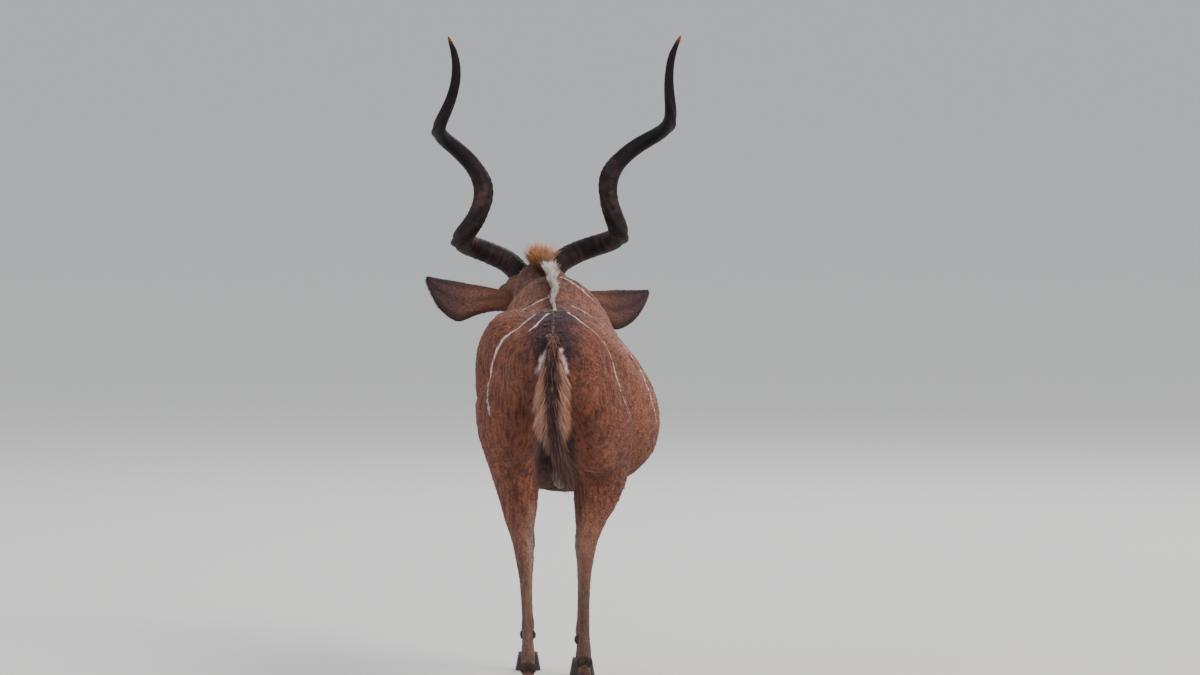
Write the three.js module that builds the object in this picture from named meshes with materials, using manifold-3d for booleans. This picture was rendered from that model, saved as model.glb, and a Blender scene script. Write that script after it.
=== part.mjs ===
// A greater kudu bull, life size, walking away with its head low and turned a little to its left.
// Millimetres. +X is the bull's right, +Y the way it walks and +Z up. The hooves stand on z = 0.
import * as THREE from "three";
import { mergeVertices } from "three/addons/utils/BufferGeometryUtils.js";
import Module from "manifold-3d";

const wasm = await Module();
wasm.setup();

// Widths of gaps and walls
const GAP = 0.3;
const MERGE = 1e-4;
const HUGE = 8000;

// Trunk, from the buttock to the chest: y, back line, belly line, half width, egg and sideways place.
// An egg above 0 is narrower at the top than at the bottom.
const TRUNK = [
  [-8, 1165, 1085, 40, 0, 0],
  [14, 1205, 1040, 92, 0, 0],
  [70, 1258, 985, 150, 0.04, 0],
  [170, 1302, 925, 188, 0.04, 0],
  [310, 1322, 858, 216, 0.06, 6],
  [460, 1318, 792, 246, 0.12, 18],
  [640, 1308, 714, 290, 0.24, 38],
  [820, 1311, 666, 305, 0.28, 49],
  [1000, 1334, 690, 282, 0.22, 30],
  [1140, 1378, 716, 244, 0.12, 12],
  [1250, 1402, 744, 222, 0.02, 2],
  [1360, 1386, 790, 196, 0.08, 0],
  [1460, 1336, 866, 158, 0.14, 0],
  [1530, 1256, 950, 94, 0.1, 0],
  [1548, 1205, 1000, 48, 0, 0],
];

// Neck, from inside the chest to the poll: x, y, z, half width, half depth and egg
const NECK = [
  [0, 1300, 1120, 134, 215, 0.24],
  [-2, 1410, 1166, 134, 194, 0.24],
  [-12, 1525, 1224, 122, 166, 0.2],
  [-30, 1630, 1276, 112, 138, 0.14],
  [-50, 1722, 1316, 104, 112, 0.08],
  [-64, 1798, 1330, 92, 86, 0.04],
  [-72, 1846, 1322, 68, 66, 0],
];

// Legs in a square stance, outwards x, from hip or shoulder to coronet: x, y, z, half width and half depth
const HIND_LEG = [
  [66, 226, 1205, 60, 110],
  [108, 250, 1085, 104, 190],
  [134, 288, 950, 116, 220],
  [134, 334, 836, 94, 184],
  [124, 322, 728, 74, 126],
  [115, 268, 625, 53, 80],
  [107, 208, 548, 36, 60],
  [101, 181, 494, 33, 50],
  [98, 178, 432, 25, 34],
  [96, 185, 320, 20, 26],
  [95, 190, 222, 20, 26],
  [94, 193, 166, 26, 33],
  [94, 213, 112, 22, 27],
  [94, 232, 70, 25, 33],
  [94, 240, 40, 25, 34],
];
const FORE_LEG = [
  [92, 1322, 1160, 60, 118],
  [128, 1326, 1000, 84, 136],
  [126, 1306, 860, 62, 104],
  [113, 1300, 758, 46, 72],
  [106, 1306, 645, 37, 52],
  [101, 1313, 532, 30, 37],
  [99, 1318, 458, 32, 36],
  [97, 1316, 402, 24, 27],
  [96, 1310, 300, 19, 23],
  [95, 1304, 212, 20, 24],
  [95, 1301, 162, 25, 30],
  [95, 1319, 108, 22, 26],
  [95, 1338, 68, 25, 32],
  [95, 1346, 40, 25, 33],
];
// The stride: how far each hoof stands ahead of the square stance, and the sway of both feet to the right
const STRIDE = { hind_left: -135, hind_right: 135, fore_left: 125, fore_right: -115 };
const PIVOT_HEIGHT = { hind: 1080, fore: 1150 };
const FOOT_SWAY = { hind: 12, fore: 0 };
// The right knee is turned out: how far, at what height, and the reach of the bulge up and down
const KNEE_OUT = { leg: "hind_right", out: 42, height: 770, reach: 130 };
const LEG_SIDES = { hind: 16, fore: 12 };
const LEG_RINGS = 20;
const CANNON_TOP = { hind: 452, fore: 424 };
// Swellings of muscle, each a centre and its reach along x, y and z: the left hip, which is the
// higher one because the right hind leg rests, and the root of the left ear behind the turned head
const SWELLINGS = [
  { centre: [-120, 420, 1128], reach: [145, 262, 188], sides: 14, rings: 10 },
  { centre: [-158, 1788, 1298], reach: [52, 46, 48], sides: 9, rings: 6 },
  { centre: [-122, 1764, 1328], reach: [58, 52, 50], sides: 9, rings: 6 },
];
// Length, width and place of the scrotum
const SCROTUM = { centre: [22, 330, 790], reach: [34, 38, 76] };
// The torso keeps what lies between the legs, up to this far from the middle
const INNER_LEG = { hind: 26, fore: 42 };

// Hooves: two toes to a foot
const HOOF_TOP = 62;
const TOE = { length: 96, halfWidth: 21, heel: 30, clearance: 3, lean: 16 };
const DEWCLAW = { height: 132, back: 30, aside: 17, radius: 11 };

// Head. Its own frame starts between the horn bases: x to the right, y down the face and z out of the brow.
const HORN_BASE = new THREE.Vector3(-68, 1815, 1367);
const HEAD_TURN = THREE.MathUtils.degToRad(12.7);
const FACE_DROP = THREE.MathUtils.degToRad(42);
// Skull and muzzle: distance down the face, brow line, jaw line, half width and egg
const FACE = [
  [-104, -58, -112, 26, 0],
  [-88, -26, -140, 56, 0],
  [-50, -4, -170, 72, -0.05],
  [0, 4, -186, 76, -0.1],
  [50, 2, -184, 74, -0.12],
  [105, -6, -172, 66, -0.12],
  [165, -18, -152, 54, -0.06],
  [225, -28, -136, 44, 0],
  [285, -36, -124, 38, 0.05],
  [335, -42, -117, 37, 0.05],
  [375, -50, -112, 37, 0.02],
  [402, -62, -104, 31, 0],
  [414, -72, -96, 18, 0],
];
const EYE = { place: [58, 92, -47], radius: 18.5, lid: 19, lidThickness: 4.2 };
const MOUTH = { corner: 292, tip: 420, height: -101, slit: 4.5, depth: 9 };
const NOSTRIL = { place: [19, 404, -68], size: [6, 15, 10] };

// Ears: each points out in the head's level frame. The leaf's rows are the distance from the root, the half width,
// and how far the middle of the leaf hangs below the line from root to tip.
const EAR = { root: [80, 7, -107], wall: 5, thin: 0.45, sunk: 14, flatter: 0.55 };
const EAR_LEAF = [
  [0, 33, 2],
  [50, 35, 8],
  [100, 42, 16],
  [150, 56, 30],
  [200, 72, 48],
  [242, 67, 47],
  [280, 53, 40],
  [312, 34, 27],
  [333, 17, 14],
  [343, 4, 4],
];
const EAR_OPEN = { root: 1.78, tip: 0.79 };
const EAR_RAISE = { left: 0.26, right: 0.08 };
const EAR_SWEEP = { left: 0.1, right: 0.2 };

// Horns: each winds round an axis that rises, leans outwards and leans back, first along a line and then more.
// The winding starts at the inner side and goes by the front; its radius is given at base, middle and tip.
const HORN_AXIS = { base: 96, height: 841, out: [0.343, 0.012], back: [0.352, 0.236] };
const WINDING = { radius: [68.6, 48.1, 56], start: 3.051, turn: 13.196, quicken: 0.3075 };
const HORN_SEAT = { inwards: 41, within: 0.06, sunk: 34, points: 26 };
const HORN = { baseRadius: 41, tipRadius: 1.6, taper: 0.55, keel: 0.16, sides: 10, steps: 46 };

// Locks of the mane on the nape, the white crest on the back, the throat fringe, the chin and the tail
const NAPE = { count: 12, length: 100, width: 48 };
const CREST = { count: 12, from: 520, to: 1370, length: 70, width: 42 };
const THROAT = { count: 8, length: 120, width: 66 };
const CHIN = { count: 3, from: 256, step: 46, length: 42, width: 38 };
const TAIL = { count: 9, length: 78, fan: 50, width: 44, behind: 4, end: 4, past: 108 };
// How far along a lock its last ring stands; the tip is a point
const LAST_RING = 0.78;

// Tail: the dock with x, y, z, half width and half depth, and the length of hair along it
const DOCK = [
  [0, 96, 1215, 26, 22],
  [0, 34, 1236, 24, 20],
  [0, -14, 1216, 20, 17],
  [-1, -42, 1150, 19, 14],
  [-2, -50, 1060, 17, 12],
  [2, -46, 970, 14, 10],
  [16, -38, 890, 11, 8],
  [34, -32, 835, 5, 5],
];

const X_AXIS = new THREE.Vector3(1, 0, 0);
const Z_AXIS = new THREE.Vector3(0, 0, 1);
const v3 = (x, y, z) => new THREE.Vector3(x, y, z);

// A repeatable draw between -1 and 1 for each lock
let drawSeed = 7;
function draw() {
  drawSeed = (drawSeed * 16807) % 2147483647;
  return (2 * drawSeed) / 2147483647 - 1;
}

// One closed solid from a three.js geometry
function solid(geometry) {
  geometry.deleteAttribute("normal");
  geometry.deleteAttribute("uv");
  const merged = mergeVertices(geometry, MERGE);
  const triVerts = new Uint32Array(merged.index.array);
  const vertProperties = new Float32Array(merged.getAttribute("position").array);
  const build = () =>
    new wasm.Manifold(new wasm.Mesh({ numProp: 3, vertProperties, triVerts }));
  const made = build();
  if (made.volume() > 0) return made;
  for (let i = 0; i < triVerts.length; i += 3)
    [triVerts[i + 1], triVerts[i + 2]] = [triVerts[i + 2], triVerts[i + 1]];
  return build();
}

const union = (bodies) => bodies.reduce((all, body) => all.add(body));

// The largest closed surface of a body
function largest(body) {
  return body.decompose().reduce((a, b) => (a.volume() >= b.volume() ? a : b));
}

// A sphere's grid drawn over any closed form: place(along, angle, reach) gives each ring point, with reach 0 at the ends
function wrap(sides, rings, place) {
  const geometry = new THREE.SphereGeometry(1, sides, rings + 1);
  const position = geometry.getAttribute("position");
  for (let row = 0; row <= rings + 1; row++) {
    const along = THREE.MathUtils.clamp((row - 1) / (rings - 1), 0, 1);
    const reach = row === 0 || row === rings + 1 ? 0 : 1;
    for (let column = 0; column <= sides; column++) {
      const angle = (2 * Math.PI * (column % sides)) / sides;
      const point = place(along, angle, reach);
      position.setXYZ(row * (sides + 1) + column, point.x, point.y, point.z);
    }
  }
  return solid(geometry);
}

// A limb through rows of x, y, z, half width, half depth and egg. Angle 0 is its upper or front line.
// With spine set, its upper line stays in the middle while its sides hang where the rows put them.
function limb(rows, { spine = false, grow = 0 } = {}) {
  const path = new THREE.CatmullRomCurve3(rows.map(([x, y, z]) => v3(x, y, z)));
  const sizes = new THREE.CatmullRomCurve3(
    rows.map(([, , , width, depth, egg = 0]) => v3(width, depth, 100 * egg)),
  );
  const place = (along, angle, reach = 1) => {
    const centre = path.getPoint(along);
    const size = sizes.getPoint(along);
    const ahead = path.getTangent(along);
    const side = X_AXIS.clone().addScaledVector(ahead, -ahead.x).normalize();
    const front = v3(0, 0, 0).crossVectors(side, ahead);
    const rise = Math.cos(angle);
    const bulge = 1 - (size.z / 100) * rise;
    const point = centre.clone();
    point.addScaledVector(side, reach * (size.x + grow) * Math.sin(angle) * bulge);
    point.addScaledVector(front, reach * (size.y + grow) * rise);
    if (spine) point.x -= centre.x * Math.max(0, rise) ** 2;
    return point;
  };
  place.path = path;
  return place;
}

// Where along a limb its path passes a value of y
function alongAtY(place, y) {
  let [low, high] = [0, 1];
  for (let i = 0; i < 24; i++) {
    const middle = (low + high) / 2;
    if (place.path.getPoint(middle).y < y) low = middle;
    else high = middle;
  }
  return low;
}

// The outward direction of a limb's surface
function outward(place, along, angle) {
  return place(along, angle, 1).sub(place(along, angle, 0.5)).normalize();
}

// An ellipsoid with its own axes turned by a matrix
function egg(centre, radii, frame, sides = 9, rings = 6) {
  const geometry = new THREE.SphereGeometry(1, sides, rings);
  geometry.scale(...radii).translate(...centre);
  return solid(geometry.applyMatrix4(frame));
}

// A flat tapered lock of hair: it leaves root along rise, bends towards fall, and its flat side faces flat
function lock({ root, rise, fall, flat, length, width, thickness = 7, sunk = 14, bend = 0.5 }) {
  const across = v3(0, 0, 0).crossVectors(rise, flat).normalize();
  return wrap(4, 3, (along, angle, reach) => {
    const share = along < 1 || reach === 0 ? along : LAST_RING;
    const travel = share * (length + sunk) - sunk;
    const droop = (bend * Math.max(0, travel) ** 2) / length;
    const taper = reach * (1 - 0.62 * share ** 2);
    const point = root.clone().addScaledVector(rise, travel - 0.35 * droop);
    point.addScaledVector(fall, droop);
    point.addScaledVector(across, (taper * width * Math.cos(angle)) / 2);
    return point.addScaledVector(flat, (taper * thickness * Math.sin(angle)) / 2);
  });
}

// Half spaces: each is an inward normal and a point of its plane
const plane = (normal, point) => ({ normal: normal.clone().normalize(), point });

function within(body, planes, slack = 0) {
  return planes.reduce(
    (left, { normal, point }) =>
      left.trimByPlane(normal.toArray(), normal.dot(point) + slack),
    body,
  );
}

const everywhere = solid(new THREE.BoxGeometry(HUGE, HUGE, HUGE));
const region = (planes, slack) => within(everywhere, planes, slack);

// Head frame: turned to the left, face dropped
const levelFrame = new THREE.Matrix4().makeRotationZ(HEAD_TURN).setPosition(HORN_BASE);
const headFrame = levelFrame.clone().multiply(new THREE.Matrix4().makeRotationX(-FACE_DROP));
const headPoint = (x, y, z) => v3(x, y, z).applyMatrix4(headFrame);
const headWay = (x, y, z) => v3(x, y, z).transformDirection(headFrame);
const levelWay = (x, y, z) => v3(x, y, z).transformDirection(levelFrame);

const trunkPlace = limb(
  TRUNK.map(([y, top, bottom, width, eggy, x]) => [
    x, y, (top + bottom) / 2, width, (top - bottom) / 2, eggy,
  ]),
  { spine: true },
);
const neckPlace = limb(NECK);
const facePlace = limb(
  FACE.map(([y, top, bottom, width, eggy]) => [
    0, y, (top + bottom) / 2, width, (top - bottom) / 2, eggy,
  ]),
);

// One leg, swung forwards or back from its pivot, with its foot under it
function legRows(rows, end, side) {
  const name = `${end}_${side < 0 ? "left" : "right"}`;
  const out = name === KNEE_OUT.leg ? KNEE_OUT.out : 0;
  return rows.map(([x, y, z, width, depth]) => {
    const swing = Math.max(0, 1 - z / PIVOT_HEIGHT[end]);
    const knee = out * Math.exp(-(((z - KNEE_OUT.height) / KNEE_OUT.reach) ** 2));
    const sideways = side * (x + 0.6 * knee) + FOOT_SWAY[end] * swing;
    return [sideways, y + STRIDE[name] * swing, z, width + 0.4 * knee, depth];
  });
}

function dewclaws(rows) {
  const [x, y] = rows[rows.length - 4];
  return [-1, 1].map((side) =>
    egg(
      [x + side * DEWCLAW.aside, y - DEWCLAW.back, DEWCLAW.height],
      [DEWCLAW.radius, DEWCLAW.radius, 1.5 * DEWCLAW.radius],
      new THREE.Matrix4(),
      6,
      4,
    ),
  );
}

function legBody(rows, sides, rings) {
  return union([wrap(sides, rings, limb(rows)), ...dewclaws(rows)]);
}

// Skull, muzzle, brows, cheeks, lips, ear roots and chin in one body, before eyes, ears and horns are let in
function headBody() {
  const parts = [wrap(18, 20, (along, angle, reach) =>
    facePlace(along, angle, reach).applyMatrix4(headFrame))];
  const add = (centre, radii, sides, rings) => parts.push(egg(centre, radii, headFrame, sides, rings));
  add([0, 386, -72], [35, 29, 27]);
  add([0, 320, -62], [27, 61, 21]);
  add([0, 370, -116], [26, 37, 16]);
  for (const side of [-1, 1]) {
    add([side * 50, 88, -42], [24, 36, 27]);
    add([side * 44, 36, -128], [26, 66, 46]);
    add([side * 17, 374, -88], [22, 34, 19]);
    add([side * 62, 4, -102], [28, 38, 38]);
  }
  return union(parts);
}

// The rim of lids round an eye
function lids(side) {
  const geometry = new THREE.TorusGeometry(EYE.lid, EYE.lidThickness, 5, 14);
  geometry.scale(1.12, 0.86, 1).rotateY((side * Math.PI) / 2).rotateZ(side * -0.3);
  const [x, y, z] = EYE.place;
  geometry.translate(side * (x + 8), y + 2, z);
  return solid(geometry.applyMatrix4(headFrame));
}

function eyeball(side, grow = 0) {
  const [x, y, z] = EYE.place;
  return egg([side * x, y, z], Array(3).fill(EYE.radius + grow), headFrame, 12, 9);
}

// The groove between the lips: a thin plate less the mouth's inside
function mouthLine() {
  const { corner, tip, height, slit, depth } = MOUTH;
  const plate = new THREE.BoxGeometry(120, tip - corner, slit);
  plate.translate(0, (tip + corner) / 2, height);
  const inside = new THREE.BoxGeometry(2 * (36 - depth), tip - corner, 4 * slit);
  inside.translate(0, (tip + corner) / 2 - 2 * depth, height);
  return solid(plate.applyMatrix4(headFrame)).subtract(solid(inside.applyMatrix4(headFrame)));
}

function nostril(side) {
  const geometry = new THREE.SphereGeometry(1, 10, 6);
  const [x, y, z] = NOSTRIL.place;
  geometry.scale(...NOSTRIL.size).rotateZ(side * -0.5).translate(side * x, y, z);
  return solid(geometry.applyMatrix4(headFrame));
}

// A cupped leaf: two like grids of triangles, a wall apart, closed round the rim
function ear(side, grow = 0) {
  const [across, down] = [8, 10];
  const name = side < 0 ? "left" : "right";
  const axis = levelWay(side, EAR_SWEEP[name], EAR_RAISE[name]).normalize();
  const mouth = levelWay(0.12 * side, 0.84, -0.3);
  mouth.addScaledVector(axis, -mouth.dot(axis)).normalize();
  const width = v3(0, 0, 0).crossVectors(axis, mouth).normalize().multiplyScalar(side);
  const root = headPoint(side * EAR.root[0], EAR.root[1], EAR.root[2]);
  const leaf = new THREE.CatmullRomCurve3(EAR_LEAF.map((row) => v3(...row)));
  const positions = [];
  const point = (share, sideways, face) => {
    const { x: run, y: half, z: drop } = leaf.getPoint(share);
    const open = THREE.MathUtils.lerp(EAR_OPEN.root, EAR_OPEN.tip, share);
    const radius = half / Math.sin(Math.min(open, Math.PI / 2));
    const wall = EAR.wall * (1 - EAR.thin * share) + 2 * grow;
    const turn = sideways * (open + (2 * grow) / radius);
    const depth = radius + (face - 0.5) * wall;
    const placed = root.clone().addScaledVector(axis, run - EAR.sunk - (share > 0 ? 0 : 2 * grow));
    placed.addScaledVector(width, depth * Math.sin(turn) - drop);
    return placed.addScaledVector(mouth, EAR.flatter * (radius - depth * Math.cos(turn)));
  };
  const index = [];
  const cell = (row, column, face) => (face * (down + 1) + row) * (across + 1) + column;
  for (const face of [0, 1])
    for (let row = 0; row <= down; row++)
      for (let column = 0; column <= across; column++)
        positions.push(...point(row / down, (2 * column) / across - 1, face).toArray());
  const quad = (a, b, c, d) => index.push(a, b, c, a, c, d);
  for (let row = 0; row < down; row++) {
    for (let column = 0; column < across; column++) {
      const at = (face) => [
        cell(row, column, face), cell(row, column + 1, face),
        cell(row + 1, column + 1, face), cell(row + 1, column, face),
      ];
      const [a, b, c, d] = at(1);
      quad(a, b, c, d);
      const [e, f, g, h] = at(0);
      index.push(e, g, f, e, h, g);
    }
    quad(cell(row, 0, 0), cell(row, 0, 1), cell(row + 1, 0, 1), cell(row + 1, 0, 0));
    quad(cell(row, across, 1), cell(row, across, 0), cell(row + 1, across, 0), cell(row + 1, across, 1));
  }
  for (let column = 0; column < across; column++) {
    quad(cell(0, column, 0), cell(0, column + 1, 0), cell(0, column + 1, 1), cell(0, column, 1));
    quad(cell(down, column, 1), cell(down, column + 1, 1), cell(down, column + 1, 0), cell(down, column, 0));
  }
  const geometry = new THREE.BufferGeometry();
  geometry.setAttribute("position", new THREE.Float32BufferAttribute(positions, 3));
  return solid(geometry.setIndex(index));
}

// The middle line of a horn, from within the skull to the tip
function hornLine(side) {
  const { base, height, out, back } = HORN_AXIS;
  const [first, middle, last] = WINDING.radius;
  const winding = (share) => {
    const axis = v3(out[0] + 2 * out[1] * share, back[0] + 2 * back[1] * share, 1).normalize();
    const outwards = X_AXIS.clone().addScaledVector(axis, -axis.x).normalize();
    const backwards = v3(0, 0, 0).crossVectors(axis, outwards);
    const radius = share < 0.5
      ? THREE.MathUtils.lerp(first, middle, 2 * share)
      : THREE.MathUtils.lerp(middle, last, 2 * share - 1);
    const turn = WINDING.start + WINDING.turn * share * (1 + WINDING.quicken * (1 - share));
    return outwards.multiplyScalar(radius * Math.cos(turn))
      .addScaledVector(backwards, radius * Math.sin(turn));
  };
  const points = [];
  for (let i = 0; i <= HORN_SEAT.points; i++) {
    const share = i / HORN_SEAT.points;
    const inwards = HORN_SEAT.inwards * Math.exp(-((share / HORN_SEAT.within) ** 2));
    const point = winding(share).sub(winding(0));
    point.x += base - inwards + height * share * (out[0] + out[1] * share);
    point.y += height * share * (back[0] + back[1] * share);
    point.z += height * share;
    points.push(v3(side * point.x, -point.y, point.z).applyMatrix4(levelFrame));
  }
  const seat = points[0].clone().addScaledVector(headWay(-side * 0.3, 0, -1), HORN_SEAT.sunk);
  return new THREE.CatmullRomCurve3([seat, ...points]);
}

// A horn: an open spiral that tapers to its tip, with a keel that winds round it
function horn(side, grow = 0) {
  const line = hornLine(side);
  const { steps, sides, baseRadius, tipRadius, taper, keel } = HORN;
  const frames = line.computeFrenetFrames(steps, false);
  return wrap(sides, steps + 1, (along, angle, reach) => {
    const step = Math.round(along * steps);
    const radius = tipRadius + (baseRadius - tipRadius) * Math.pow(1 - along, taper) + grow;
    const ridge = 1 + keel * Math.max(0, Math.cos(angle)) ** 6;
    const point = line.getPointAt(along);
    if (along === 0) point.addScaledVector(frames.tangents[0], -grow);
    point.addScaledVector(frames.normals[step], reach * radius * ridge * Math.cos(angle));
    return point.addScaledVector(frames.binormals[step], reach * radius * Math.sin(angle));
  });
}

// One toe: a pointed wedge with a flat sole, leaning forwards from the coronet
function toe(x, y, side) {
  const { length, halfWidth, heel, clearance, lean } = TOE;
  return wrap(10, 3, (along, angle, reach) => {
    const height = HOOF_TOP - GAP - along * (HOOF_TOP - GAP);
    const spread = 0.72 + 0.28 * along;
    const ahead = Math.cos(angle);
    const reachY = ahead > 0 ? length - heel - (1 - along) * 30 : heel;
    const narrow = ahead > 0 ? 1 - 0.55 * ahead ** 2 : 1;
    const outer = reach * halfWidth * narrow * spread * Math.sin(angle);
    return v3(
      x + side * (halfWidth * spread + clearance) + outer,
      y + lean * along + reach * reachY * spread * ahead,
      height,
    );
  });
}

// Locks along the nape, leaning back over the neck
function napeLocks() {
  const locks = [];
  for (let i = 0; i < NAPE.count; i++)
    for (const row of [-1, 1]) {
      const along = 0.24 + (0.56 * (i + 0.25 * row)) / (NAPE.count - 1);
      const angle = row * 0.16 + 0.05 * draw();
      const rise = outward(neckPlace, along, angle).add(v3(0.25 * row, -0.9, 0)).normalize();
      locks.push(lock({
        root: neckPlace(along, angle), rise, fall: v3(0.1 * row, -1, -0.3).normalize(),
        flat: v3(1, 0.3 * draw(), 0).normalize(),
        length: NAPE.length + 16 * Math.sin(Math.PI * along) + 8 * draw(), width: NAPE.width,
        thickness: 9, bend: 0.3,
      }));
    }
  return locks;
}

// The white crest along the back, from the withers to the loin
function backLocks() {
  const locks = [];
  for (let i = 0; i < CREST.count; i++)
    for (const row of [-1, 1]) {
      const y = CREST.from + ((CREST.to - CREST.from) * (i + 0.25 * row)) / (CREST.count - 1);
      const along = alongAtY(trunkPlace, y);
      const angle = row * 0.05;
      const withers = THREE.MathUtils.smoothstep(y, 700, 1250);
      const rise = v3(0.22 * row, -0.92, 0.62).normalize();
      locks.push(lock({
        root: trunkPlace(along, angle), rise, fall: v3(0.12 * row, -1, -0.25).normalize(),
        flat: v3(0.8, 0.3 * draw(), 0.3 * row).normalize(),
        length: CREST.length + 24 * withers + 6 * draw(), width: CREST.width, thickness: 9, bend: 0.25,
      }));
    }
  return locks;
}

// The throat fringe, from the throat to the brisket
function throatLocks() {
  const locks = [];
  for (let i = 0; i < THROAT.count; i++)
    for (const row of [-1, 0, 1]) {
      const share = (i + 0.33 * row) / (THROAT.count - 1);
      const along = 0.9 - 0.58 * share;
      const angle = Math.PI + row * 0.2 + 0.04 * draw();
      const rise = outward(neckPlace, along, angle).add(v3(0.15 * row, 0, -0.3)).normalize();
      locks.push(lock({
        root: neckPlace(along, angle), rise, fall: v3(0, -0.25, -1).normalize(),
        flat: v3(1, 0.6 * row + 0.2 * draw(), 0).normalize(),
        length: THROAT.length + 40 * Math.sin(Math.PI * share) + 14 * draw(), width: THROAT.width,
        thickness: 10, bend: 0.4,
      }));
    }
  return locks;
}

function chinLocks() {
  const locks = [];
  for (let i = 0; i < CHIN.count; i++)
    for (const row of [-1, 1]) {
      const root = headPoint(row * 11, CHIN.from + CHIN.step * i, -118);
      locks.push(lock({
        root, rise: headWay(0.2 * row, 0.1, -1), fall: v3(0, -0.3, -1).normalize(),
        flat: headWay(1, 0.3 * row, 0), length: CHIN.length + 5 * draw(), width: CHIN.width,
        thickness: 7, bend: 0.35,
      }));
    }
  return locks;
}

// The tail: hair that fans to both sides of the dock, and a tuft past its end
function tailBody() {
  const dock = limb(DOCK);
  const bodies = [wrap(10, 12, dock)];
  for (let i = 0; i < TAIL.count; i++)
    for (const side of [-1, 1]) {
      const share = i / (TAIL.count - 1);
      const fan = Math.sin(Math.PI * Math.min(1, 0.24 + 0.7 * share));
      bodies.push(lock({
        root: dock(0.24 + 0.66 * share + 0.02 * side, side * 1.45, 0.9),
        rise: v3(side * (0.3 + 0.24 * fan), -0.1, -0.9).normalize(), fall: v3(0, 0, -1),
        flat: v3(0, 1, 0), length: TAIL.length + TAIL.fan * fan + 5 * draw(), width: TAIL.width,
        thickness: 8, sunk: 8, bend: 0.3,
      }));
    }
  for (let i = 0; i < TAIL.behind; i++)
    bodies.push(lock({
      root: dock(0.34 + (0.52 * i) / (TAIL.behind - 1), Math.PI, 0.9),
      rise: v3(0.05 * draw(), -0.5, -0.9).normalize(), fall: v3(0.06, 0.25, -1).normalize(),
      flat: v3(0.1 * draw(), 1, -0.4).normalize(), length: TAIL.length + 6 * draw(),
      width: 0.8 * TAIL.width, thickness: 8, sunk: 8, bend: 0.25,
    }));
  for (let i = 0; i < TAIL.end; i++) {
    const spread = (2 * i) / (TAIL.end - 1) - 1;
    bodies.push(lock({
      root: dock(0.93, 0, 0), rise: v3(0.24 + 0.26 * spread, 0.05 * draw(), -1).normalize(),
      fall: v3(0.15, 0, -1).normalize(), flat: v3(0, 1, 0),
      length: TAIL.past - 14 * spread ** 2 + 5 * draw(), width: 0.66 * TAIL.width,
      thickness: 8, sunk: 6, bend: 0.1,
    }));
  }
  return largest(union(bodies));
}

// The whole animal's flesh, with its mane, crest and fringe rooted in it
const legs = {};
for (const [end, rows] of [["hind", HIND_LEG], ["fore", FORE_LEG]])
  for (const side of [-1, 1])
    legs[`${end}_${side < 0 ? "left" : "right"}`] = { end, side, rows: legRows(rows, end, side) };

const trunk = wrap(24, 19, trunkPlace);
const neck = wrap(18, 11, neckPlace);
const upright = new THREE.Matrix4();
const scrotum = egg(SCROTUM.centre, SCROTUM.reach, upright, 10, 7);
const swellings = SWELLINGS.map(({ centre, reach, sides, rings }) => egg(centre, reach, upright, sides, rings));
const flesh = union([
  trunk,
  neck,
  headBody(),
  scrotum,
  ...swellings,
  ...Object.values(legs).map(({ end, rows }) => legBody(rows, LEG_SIDES[end], LEG_RINGS)),
]);

// The cuts that part the body
const neckRoot = plane(v3(0, 0.9, 0.43), v3(0, 1402, 1380));
const nape = plane(levelWay(0, 1, 0.06), HORN_BASE.clone().addScaledVector(levelWay(0, 1, 0), -74));
const flip = ({ normal, point }) => plane(normal.clone().negate(), point);
const headPlanes = [nape];
const neckPlanes = [neckRoot, flip(nape)];
const legTop = {
  hind: plane(v3(0, -0.5, -0.866), v3(0, 300, 846)),
  fore: plane(v3(0, 0.4, -0.917), v3(0, 1300, 764)),
};
const legRegion = ({ end, side }) => [
  legTop[end],
  plane(v3(0, end === "hind" ? -1 : 1, 0), v3(0, 800, 0)),
  plane(v3(side, 0, 0), v3(side * INNER_LEG[end], 0, 0)),
];

const solids = new Map();
const colours = new Map();
function node(name, body, colour) {
  solids.set(name, body);
  colours.set(name, colour);
}
const BROWN = { color: 0x8a5640, roughness: 0.85 };
const GREY_BROWN = { color: 0x7d6354, roughness: 0.85 };
const DARK = { color: 0x3a2620, roughness: 0.9 };
const HORN_COLOUR = { color: 0x2b2120, roughness: 0.55 };
const HOOF_COLOUR = { color: 0x1c1816, roughness: 0.5 };
const EYE_COLOUR = { color: 0x120c08, roughness: 0.1 };

const coat = [...napeLocks(), ...backLocks(), ...throatLocks(), ...chinLocks()];
const dressed = union([flesh, ...coat]);

let torso = dressed.subtract(region([neckRoot], -GAP));
for (const leg of Object.values(legs)) torso = torso.subtract(region(legRegion(leg), -GAP));
const tail = tailBody();
const dockSocket = wrap(10, 12, limb(DOCK, { grow: GAP }));
torso = torso.subtract(dockSocket).subtract(tail);
node("torso", largest(torso), BROWN);
const earRoots = union([ear(-1, GAP), ear(1, GAP)]);
node("neck", largest(within(dressed, neckPlanes, GAP / 2).subtract(earRoots)), BROWN);
node("tail", tail, DARK);

let head = within(dressed, headPlanes, GAP / 2).add(lids(-1)).add(lids(1));
head = head.subtract(mouthLine());
for (const side of [-1, 1]) {
  const name = side < 0 ? "left" : "right";
  head = head.subtract(nostril(side)).subtract(eyeball(side, GAP));
  head = head.subtract(horn(side, GAP));
  node(`horn_${name}`, horn(side), HORN_COLOUR);
  node(`ear_${name}`, ear(side), GREY_BROWN);
  node(`eye_${name}`, eyeball(side), EYE_COLOUR);
}
node("head", largest(head.subtract(earRoots)), GREY_BROWN);

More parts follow.
